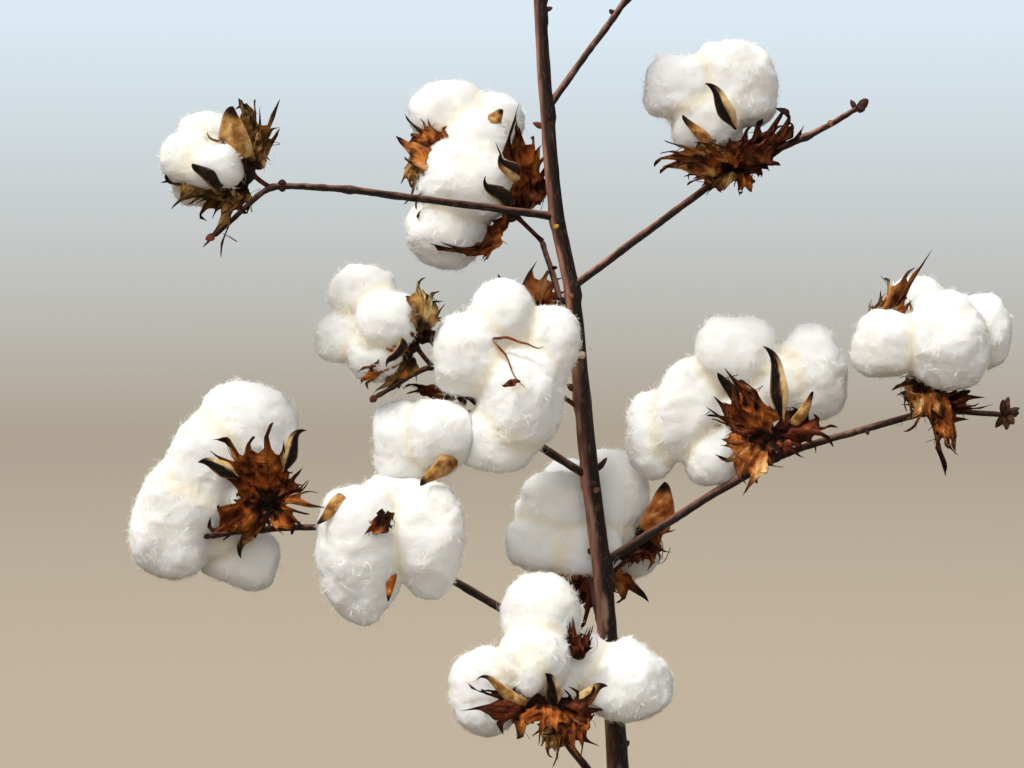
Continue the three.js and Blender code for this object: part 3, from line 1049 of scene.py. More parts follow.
@dataclass
class Limb:
    """A fruiting limb: it bends at its joints, each (length, turn, rise), and swells there."""

    name: str
    height: float
    root: float
    tip: float
    joints: list
    sides: int = 14
    ring_gap: float = 1.7
    tension: float = 0.25
    root_swell: float = 0.35
    joint_swell: float = 0.3
    swell_length: float = 4.5
    root_length: float = 6.0
    end_taper: tuple = (0.95, 0.85, 0.65, 0.35)
    wander: float = 0.7
    # How strongly the painted light on the upper side shows.
    lit: float = 0.45
    buds: list = field(default_factory=list)

    def points(self, stem: Stem) -> Array:
        """The limb's joints as points, starting on the stem's line.

        Args:
            stem: the stem it grows from.

        Returns:
            The points, in millimetres.
        """
        found = [stem.point(self.height)]
        for length, turn, rise in self.joints:
            found.append(found[-1] + direction(turn, rise) * length)
        return np.array(found)

    def build(self, stem: Stem, bark: Bark, seed: int, material: Material) -> Object:
        """Makes the limb with its bark's relief.

        Args:
            stem: the stem it grows from.
            bark: its tints.
            seed: picks its own relief.
            material: the bark.

        Returns:
            The finished piece.
        """
        corners = self.points(stem)
        line = Spline(corners, Fit.TAUT, self.tension)
        whole = sum(j[0] for j in self.joints)
        t = np.linspace(0, 1, int(whole / self.ring_gap))
        centres = line.at(t)
        along = line.tangent(t)
        across = unit(np.cross(along, UP))
        stretch = t * len(self.joints)
        nearest = np.round(stretch).astype(int)
        lengths = np.array([j[0] for j in self.joints])
        away = np.abs(stretch - nearest) * lengths[np.minimum(stretch.astype(int), len(lengths) - 1)]
        bump = np.exp(-(away / self.swell_length) ** 2)
        root = self.root_swell * np.exp(-away / self.root_length)
        swell = np.where(nearest == 0, root, self.joint_swell * bump)
        radius = (self.root + (self.tip - self.root) * t) / 2 * (1 + swell)
        radius[-len(self.end_taper):] *= np.array(self.end_taper)
        around = turns(self.sides)
        dirs = hoop(across, np.cross(across, along), around)
        rings = centres[:, None] + dirs * radius[:, None, None]
        walk = (np.cumsum(np.r_[0, np.linalg.norm(np.diff(centres, axis=0), axis=1)]))[:, None]
        ridge = 0.06 * np.cos(4 * around[None] + walk * 0.05 + seed) * radius[:, None]
        rough = noise(rings, 1.6, seed) * 0.13 + noise(rings, 5, seed + 1) * 0.2
        wander = np.stack([noise(centres + 40 * k, 26, seed + 2 + k) for k in range(3)], -1)
        fade = np.minimum(walk / 20, 1) * np.minimum((walk[-1] - walk) / 15, 1)
        rings = rings + dirs * (ridge + rough)[..., None] + (wander * self.wander * fade)[:, None]
        rings *= MM
        joint = np.repeat((bump * 0.8)[:, None], self.sides, 1)
        # Painted light: the upper side is painted paler and the underside darker, standing for light from
        # above and shade beneath.
        top = np.sin(around)[None] + 0.3 * noise(rings, 0.004, seed + 3)
        tints = coated(
            bark.tints(rings[..., [0, 2, 1]], joint, seed),
            (bark.painted_light_limb, smooth(0.2, 0.9, top) * self.lit * (0.6 + 0.4 * (1 - bump))[:, None]),
            (bark.deep, smooth(-0.4, 0.4, -top) * 0.75),
        )
        shape = Shape()
        shape.tube(rings, tints, pairs(around[None] * radius[:, None] * MM, walk * MM))
        for bud in self.buds:
            near = int(bud.height / 100 * (len(centres) - 1))
            middle = rings[near].mean(0) / MM
            out = direction(bud.turn, bud.rise) * max(radius[near] - 0.7, 0) * (bud.height < 99)
            bud.add(shape, middle + out)
        piece = shape.build(f"limb_{self.name}", material)
        hand_over(piece, "bark", f"bough_{self.name}")
        return piece


LIMBS = [
    Limb("base_right", 105, 7, 3, [(100, 24, 32), (70, 16, 16)]),
    Limb("base_left", 150, 6.6, 3, [(88, 152, 26), (72, 160, 16)]),
    Limb("base_front", 196, 6.2, 3, [(88, -62, 14), (50, -52, 6)]),
    Limb("low_front", 261, 5.6, 3.6, [(78, -128, 43)]),
    Limb("low_left", 339, 5.4, 2.8, [
        (71, -166, 34), (74, -169, 32), (50, -168, 18), (36, -166, 0), (30, -166, -6),
    ], buds=[
        Bud(100, 176, -4, 4, 3), Bud(70, -110, -60, 3.5, 2), Bud(84, -60, -70, 4, 1.8),
        Bud(92, -120, 50, 4, 2),
    ]),
    Limb("low_back", 352, 5.2, 2.8, [(70, 100, 36), (60, 96, 12)]),
    Limb("low_right", 408, 5, 3, [(119, -8, 32), (90, -9, 18), (47, -11, -1)], buds=[
        Bud(30, -90, -40, 3, 2.6), Bud(53, -80, -50, 3.5, 2.4), Bud(62, -60, 60, 3, 2),
        Bud(100, 0, 10, 6, 4.5), Bud(99, 110, 60, 8, 5, "4a2c16"), Bud(97, 40, 70, 10, 4.4, "6a4626"),
        Bud(97, -120, 80, 8, 4.6, "3a2010"), Bud(99, -60, -40, 8, 5, "5a3a20"),
        Bud(98, 150, -50, 9, 4.4, "3a2010"), Bud(98, -90, -80, 8, 4.4, "6a4626"),
        Bud(99, -20, 30, 8, 4.6, "4a2c16"), Bud(96, -60, 20, 7, 4, "2a180c"),
    ]),
    Limb("mid_left", 458, 4.8, 2.6, [(74, -159, 32), (44, -161, 39), (38, -159, -25)], buds=[
        Bud(100, -150, -40, 4.4, 4.2, "5e2c20", 0.45), Bud(90, 150, 50, 3, 2),
        Bud(86, -100, -60, 3, 1.8),
    ]),
    Limb("mid_back", 504, 4.8, 3.2, [(60, 112, 60), (46, 119, 58)], buds=[
        Bud(60, -50, -30, 5, 4.6, "180908", 0.45), Bud(56, -170, 40, 4, 3, "180908"),
        Bud(80, -40, 10, 4, 2.4, "180908"),
    ]),
    Limb("mid_right", 569, 4.6, 3, [(103, -12, 36), (58, -12, 27), (35, -13, 28)], lit=0.95, buds=[
        Bud(100, 20, 40, 7, 5.2, "3c1a12", 0.45), Bud(99, -60, -10, 6, 4.6, "2c110b", 0.45),
        Bud(97, 170, 60, 5, 3, "3c1a12"), Bud(81, -70, 30, 3, 3.6, "a06a50", 0.4),
    ]),
    Limb("high_left", 610, 4.6, 2.6, [(129, -155, 7), (46, -161, 1), (42, -162, -39)], buds=[
        Bud(100, -160, -20, 5, 4.2, "8a4a34", 0.45), Bud(99, -165, -44, 10, 1.3, "3a1a12"),
        Bud(60, -120, 70, 3, 4.4, "3a1610", 0.5), Bud(60, -100, -60, 2.6, 3.6, "2a110b", 0.5),
    ]),
    Limb("high_right", 672, 4.4, 2.6, [(80, 14, 53), (56, 18, 46), (40, 10, 24)], lit=0.8, buds=[
        Bud(27, 150, 40, 4, 3), Bud(62, -60, 10, 4, 2.6), Bud(100, 10, 30, 6, 3.6),
    ]),
    Limb("high_back", 727, 4.2, 2.4, [(36, 12, 76), (52, 76, 48)]),
    Limb("top_front", 796, 4, 2.4, [(58, -104, 36), (34, -96, 20)]),
    Limb("top_left", 862, 3.8, 2.4, [(60, 168, 32), (32, 160, 18)]),
]


# Bolls.


class Tone(Enum):
    """The colouring of a blade."""

    DARK = "dark"
    TAN = "tan"
    STRAW = "straw"
    AMBER = "amber"
    RUST = "rust"
    MAROON = "maroon"
    OLIVE = "olive"


@dataclass(frozen=True)
class Palette:
    """Four tints of a dry blade, light to dark."""

    light: str
    middle: str
    deep: str
    dark: str


DARK, TAN, STRAW, AMBER, RUST, MAROON, OLIVE = Tone

PALETTES = {
    DARK: Palette("2c1810", "120805", "080302", "050201"),
    TAN: Palette("e2b878", "b07c40", "6a4018", "160804"),
    STRAW: Palette("f6d898", "cc9c58", "8a5a28", "1c0c05"),
    AMBER: Palette("ffc884", "cc7834", "7a3410", "180703"),
    RUST: Palette("e0883c", "a4521c", "5c240a", "120502"),
    MAROON: Palette("a65c3a", "6c3018", "3c1409", "0e0403"),
    OLIVE: Palette("b48c4a", "765428", "3c260e", "0e0603"),
}


@dataclass
class Path:
    """Where a bowed blade runs, in millimetres: start, the pull of its middle, and end."""

    start: Array
    pull: Array
    end: Array
    across: Array

    @classmethod
    def between(cls, start: Array, end: Array, face: Array, bow: float) -> "Path":
        """A path whose middle stands out to the side that it faces.

        Args:
            start: the blade's root.
            end: its tip.
            face: the side that its outer face looks to.
            bow: how far its middle stands out.

        Returns:
            The path.
        """
        chord = unit(end - start)
        out = unit(face - chord * (face @ chord))
        return cls(start, (start + end) / 2 + out * 2 * bow, end, np.cross(chord, out))

    @property
    def length(self) -> float:
        """The straight length from root to tip."""
        return float(np.linalg.norm(self.end - self.start))

    def at(self, s: Array) -> Array:
        """The path's points at shares s, which may pass 1 a little."""
        s = np.asarray(s)[..., None]
        return self.start * (1 - s) ** 2 + self.pull * 2 * s * (1 - s) + self.end * s**2

    def along(self, s: Array) -> Array:
        """The path's direction at shares s."""
        s = np.asarray(s)[..., None]
        return unit((self.pull - self.start) * (1 - s) + (self.end - self.pull) * s)

    def outward(self, s: Array) -> Array:
        """The direction of the outer face at shares s."""
        along = self.along(s)
        return unit(np.cross(np.broadcast_to(self.across, along.shape), along))


@dataclass(frozen=True)
class Blade:
    """One wall or bract of a boll, as it lies from the boll's base.

    A wall with pale 1 or -1 shows its straw inner side to the right or left of its run.
    """

    tip: tuple
    bow: float = 4.0
    wide: float = 1.0
    tone: Tone = RUST
    face: tuple | None = None
    root: tuple | None = None
    pale: int = 0

    def path(self, f: "Frame", cotton: Array, size: float, reach: float, shift: float) -> Path:
        """The blade's path.

        Args:
            f: the boll's frame.
            cotton: the middle of its cotton, from the base.
            size: the boll's size.
            reach: how far from the axis the blade starts.
            shift: how far along the axis it starts.

        Returns:
            The path.
        """
        tip = np.array(self.tip, float)
        side = unit(tip - f.axis * (tip @ f.axis))
        start = side * reach * size + f.axis * shift * size
        if self.root is not None:
            start = np.array(self.root, float)
        face = (start + tip) / 2 - cotton if self.face is None else np.array(self.face, float)
        return Path.between(f.base + start, f.base + tip, face, self.bow)


@dataclass
class Wall:
    """One split wall of the boll: straw inside, darker outside, drawn out into a thin dark hook."""

    root: float = 5.0
    shift: float = 2.0
    width: float = 14.0
    curl: float = 50.0
    hook: float = 1.25
    tip: float = 0.34
    bulge: float = 0.42
    thick: float = 1.0
    rows: int = 20
    cols: int = 11
    inside: str = "ecca92"
    streak: str = "b4824a"
    rim: str = "e6b888"

    def add(self, shape: Shape, path: Path, blade: Blade, boll: "Boll", rng: np.random.Generator) -> None:
        """Adds one wall to a shape.

        Args:
            shape: what it is added to.
            path: where it runs.
            blade: its width and tone.
            boll: the boll that it belongs to, with the cotton that it lies on.
            rng: the boll's own random numbers.
        """
        size = boll.plan.size
        t = np.linspace(0, 1, self.rows)
        straight = np.minimum(t, 1 - self.tip)
        past = (t - straight) * path.length
        bend = self.hook * rng.uniform(0.7, 1.3) / (self.tip * path.length)
        ahead, aside = (d[:, None] for d in curled(past, bend))
        turn = (bend * past)[:, None]
        along, outward = path.along(straight), path.outward(straight)
        flat = np.broadcast_to(path.across, along.shape)
        lean = -blade.pale * 0.9 if blade.pale else rng.uniform(-0.8, 0.8)
        toward = outward * math.cos(lean) + flat * math.sin(lean)
        centre = path.at(straight) + along * ahead + toward * aside
        bent = toward * np.cos(turn) - along * np.sin(turn)
        square = flat * math.cos(lean) - outward * math.sin(lean)
        outward = bent * math.cos(lean) - square * math.sin(lean)
        across = square * math.cos(lean) + bent * math.sin(lean)
        base = 0.2 if blade.pale or blade.root is None else 0.85
        taper = 1.0 if base > 0.5 and blade.wide < 1 else 1.5
        form = (base + (1 - base) * smooth(0, 0.4, t)) * (1 - t**taper) ** 0.9 * 1.27 + 0.02
        half = self.width * size * blade.wide * form / 2
        v = np.linspace(-1, 1, self.cols)
        bulge = self.bulge * (1 - v[None] ** 2) * half[:, None]
        surface = centre[:, None] + across[:, None] * (v[None] * half[:, None])[..., None]
        seed = int(rng.integers(999))
        crumple = noise(surface, 7, seed) * 1.2 * smooth(0, 0.3, t)[:, None]
        crumple = crumple + noise(surface, 3, seed + 1) * 0.3
        surface = surface + outward[:, None] * (bulge + crumple * (1 - t[:, None]) ** 0.5)[..., None]
        lift = boll.cover(surface, outward[:, None]) * smooth(0.1, 0.5, t)[:, None] * (blade.root is None)
        surface = surface + outward[:, None] * lift[..., None]
        thick = self.thick * (1 - 0.5 * v[None] ** 2) * (1 - 0.6 * t[:, None])
        front = surface + outward[:, None] * (thick / 2)[..., None]
        back = surface - outward[:, None] * (thick / 2)[..., None]
        maps = pairs(v[None] * half[:, None], t[:, None] * path.length) * MM
        shape.leaf(front * MM, back * MM, self.tints(surface, t, v, blade, seed), maps)

    def tints(self, surface: Array, t: Array, v: Array, blade: Blade, seed: int) -> tuple:
        """The colours of a wall's two faces.

        Args:
            surface: its points.
            t: each row's share of the way from its root to its tip.
            v: each column's place across it, from -1 to 1.
            blade: its width and tone.
            seed: picks its own pattern.

        Returns:
            The colours of its outer and its inner face.
        """
        tones = PALETTES[blade.tone]
        spots = noise(surface, 3.4, seed + 2) + 0.6 * noise(surface, 1.6, seed + 3)
        tip = smooth(0.6, 0.85, t)[:, None]
        edge = smooth(0.8, 0.95, np.abs(v))[None] * (0.0 if blade.wide < 0.5 else 0.55)
        inner = coated(self.inside, (self.streak, smooth(0.0, 0.9, spots) + 0.3 * (v[None] < -0.6)))
        outer = coated(
            tones.middle,
            (tones.light, smooth(0.1, 0.8, spots) * 0.8),
            (tones.deep, smooth(0.0, 0.8, -spots) * 0.9),
            (self.rim, edge * (1 - tip)),
            (inner, smooth(0.2, 0.4, v[None] * blade.pale + 0.12 * spots) * (blade.pale != 0)),
            (tones.dark, tip),
        )
        return outer, coated(inner, (tones.dark, tip * 0.9))


@dataclass
class Bract:
    """One leafy bract: a broad, dry, crumpled body with thin curled teeth along its edge."""

    root: float = 3.0
    shift: float = -2.0
    curl: float = 24.0
    spread: float = 86.0
    body: float = 0.64
    flank: float = 0.42
    square: float = 2.5
    teeth: int = 9
    hook: float = 2.3
    stations: tuple = (1.0, 0.5, 0.2, 0.0, 0.2, 0.5)
    rows: int = 18
    thick: float = 0.34
    ruffle: float = 3.4
    crumple: float = 3.6
    wrap: float = 0.012
    pleat: float = 1.2
    roll: float = 0.9
    nod: float = 0.5

    def add(self, shape: Shape, path: Path, blade: Blade, boll: "Boll", rng: np.random.Generator) -> None:
        """Adds one bract to a shape.

        Args:
            shape: what it is added to.
            path: where it runs.
            blade: its width and tone.
            boll: the boll that it belongs to.
            rng: the boll's own random numbers.
        """
        tones = PALETTES[blade.tone]
        length = path.length
        local = np.array(list(self.stations) * self.teeth + [1.0])
        tooth = np.minimum(np.arange(len(local)) // len(self.stations), self.teeth - 1)
        rank = (2 * np.arange(self.teeth) + 1) / self.teeth - 1
        u = rank[tooth] + np.array([-1, -1, -1, 0, 1, 1] * self.teeth + [1]) * local / self.teeth
        knots = np.linspace(-1, 1, 7)
        u = np.interp(u, knots, knots + rng.uniform(-0.1, 0.1, 7) * (np.abs(knots) < 1))
        theta = np.radians(self.spread) * u
        sine, cosine = np.sin(theta), np.cos(theta)
        edge = (np.abs(sine) / self.flank) ** self.square + (cosine / self.body) ** self.square
        uneven = 1 + 0.24 * np.interp(u, knots, rng.uniform(-1, 1, 7))
        valley = length * edge ** (-1 / self.square) * uneven
        spikes = length * rng.uniform(0.2, 0.52, self.teeth) * (1 - 0.7 * rank**2)
        reach = valley + spikes[tooth] * (1 - local) ** 3.0
        share = np.linspace(0.04, 1, self.rows) ** 0.85
        r = share[:, None] * reach[None]
        past = np.maximum(r - valley[None], 0)
        beyond = past / spikes[tooth][None]
        hook = self.hook * rng.uniform(0.2, 1.0, self.teeth)
        forward, aside = curled(past, (hook / spikes)[tooth][None])
        lean = rng.uniform(0, 2 * math.pi, self.teeth)[tooth][None]
        heading = np.radians(self.spread) * rank * 0.5 + rng.uniform(-0.3, 0.3, self.teeth)
        heading = heading[tooth][None]
        r = r - past
        side = aside * np.sin(lean)
        x = (r * sine + forward * np.sin(heading) + side * np.cos(heading)) * blade.wide
        ahead = (r * cosine + forward * np.cos(heading) - side * np.sin(heading)) / length
        seed = int(rng.integers(9999))
        flat = np.stack([x, ahead * length, x * 0], -1)
        sway, drift = (2.6 * noise(flat, 9, seed + k) + 1.0 * noise(flat, 4, seed + k + 1) for k in (6, 8))
        x = x + sway * share[:, None]
        ahead = ahead + drift * share[:, None] / length
        outward = path.outward(ahead)
        surface = path.at(ahead) + path.across * x[..., None]
        swing = u[None] * rng.uniform(3, 5) + rng.uniform(0, 6) + 0.5 * noise(surface, 14, seed + 5)
        waves = (0.7 - 1.6 * np.abs(np.sin(swing))) * self.ruffle * share[:, None]
        folds = self.folds(surface, seed)
        vein = np.exp(-((local / 0.2) ** 2))[None] * (1 - beyond) * share[:, None]
        pleat = (1 - np.minimum(local, 1))[None] * self.pleat * share[:, None] * (1 - beyond)
        rolls = np.where(u < 0, rng.uniform(-1, 1), rng.uniform(-1, 1))[None]
        rolls = rolls * self.roll * (x / length) ** 2 * length
        nod = rng.uniform(-0.5, 1) * self.nod * length * np.maximum(ahead - 0.35, 0) ** 2
        lift = (waves + folds * self.crumple * rng.uniform(0.6, 1.3)) * smooth(0, 0.3, share)[:, None]
        lift = lift * (1 - 0.8 * np.minimum(beyond, 1))
        lift = lift + pleat + rolls + nod - self.wrap * x**2 * (1 - 0.4 * beyond) + aside * np.cos(lean)
        surface = surface + outward * lift[..., None]
        if blade.root is None:
            lift = boll.cover(surface, outward) * smooth(0.1, 0.5, share)[:, None]
            surface = surface + outward * lift[..., None]
        sheet = self.normals(surface)
        thick = self.thick * (1 - 0.4 * share)[:, None, None]
        front, back = surface + sheet * thick / 2, surface - sheet * thick / 2
        spots = noise(surface, 6, seed + 3) * 0.7 + 0.5 * noise(surface, 2.4, seed + 4)
        # Painted light: fold and wave crests shift the tint towards the light tone, a painted highlight.
        # Creases shift it towards the deep and dark tones, painted shade. This lies over the random
        # blotches.
        spots = spots + 1.1 * folds + 0.2 * waves - 0.1
        rim = smooth(0.86, 1, np.abs(u))[None] * 0.6
        rim = rim + smooth(0.9, 1.0, share)[:, None] * (local > 0.9)[None] * 0.7
        tint = coated(
            tones.middle,
            (tones.light, smooth(0.1, 1.0, spots) * 0.95),
            (tones.deep, smooth(0.1, 0.9, -spots)),
            (tones.light, vein * 0.3),
            # painted shade in the creases
            (tones.dark, smooth(0.25, 1.1, -folds) * 0.85),
            (tones.dark, rim + smooth(0.0, 0.65, beyond) * 0.96),
            # dark bract base: partly its own dark colour, partly painted shade where the bracts meet at
            # the cup
            (tones.dark, (1 - smooth(6, 13, r + past + 2 * spots)) * 0.95),
        )
        maps = np.stack([x, r + past], -1) * MM
        shape.leaf(front * MM, back * MM, (tint, tint * 0.75), maps)

    @staticmethod
    def folds(surface: Array, seed: int) -> Array:
        """How high each point of a sheet stands on its folds; sharp creases are below 0.

        Args:
            surface: the points.
            seed: picks its own folds.

        Returns:
            A height for each.
        """
        folds = 0.5 - 1.3 * np.abs(noise(surface, 11, seed)) + 0.35 * noise(surface, 6, seed + 1)
        folds = folds + 0.4 - 1.2 * np.abs(noise(surface, 4.2, seed + 2))
        return folds - 0.5 * np.abs(noise(surface, 2.4, seed))

    @staticmethod
    def normals(surface: Array) -> Array:
        """The direction square to a sheet at each of its points."""
        return unit(np.cross(np.gradient(surface, axis=1), np.gradient(surface, axis=0)))


@dataclass
class Plan:
    """Where one boll hangs and how it opened. Empty lists follow the rule.

    Its stalk is (length, turn, rise), from a joint of the limb in on or from a height on the stem,
    and it opens towards (turn, rise). A lobe is (right, back, up, wide, tall), and its lean in
    degrees if it leans.
    """

    name: str
    stalk: tuple
    opens: tuple
    on: tuple | None = None
    height: float = 0.0
    roll: float = 0.0
    size: float = 1.0
    walls: list = field(default_factory=list)
    bracts: list = field(default_factory=list)
    lobes: list = field(default_factory=list)


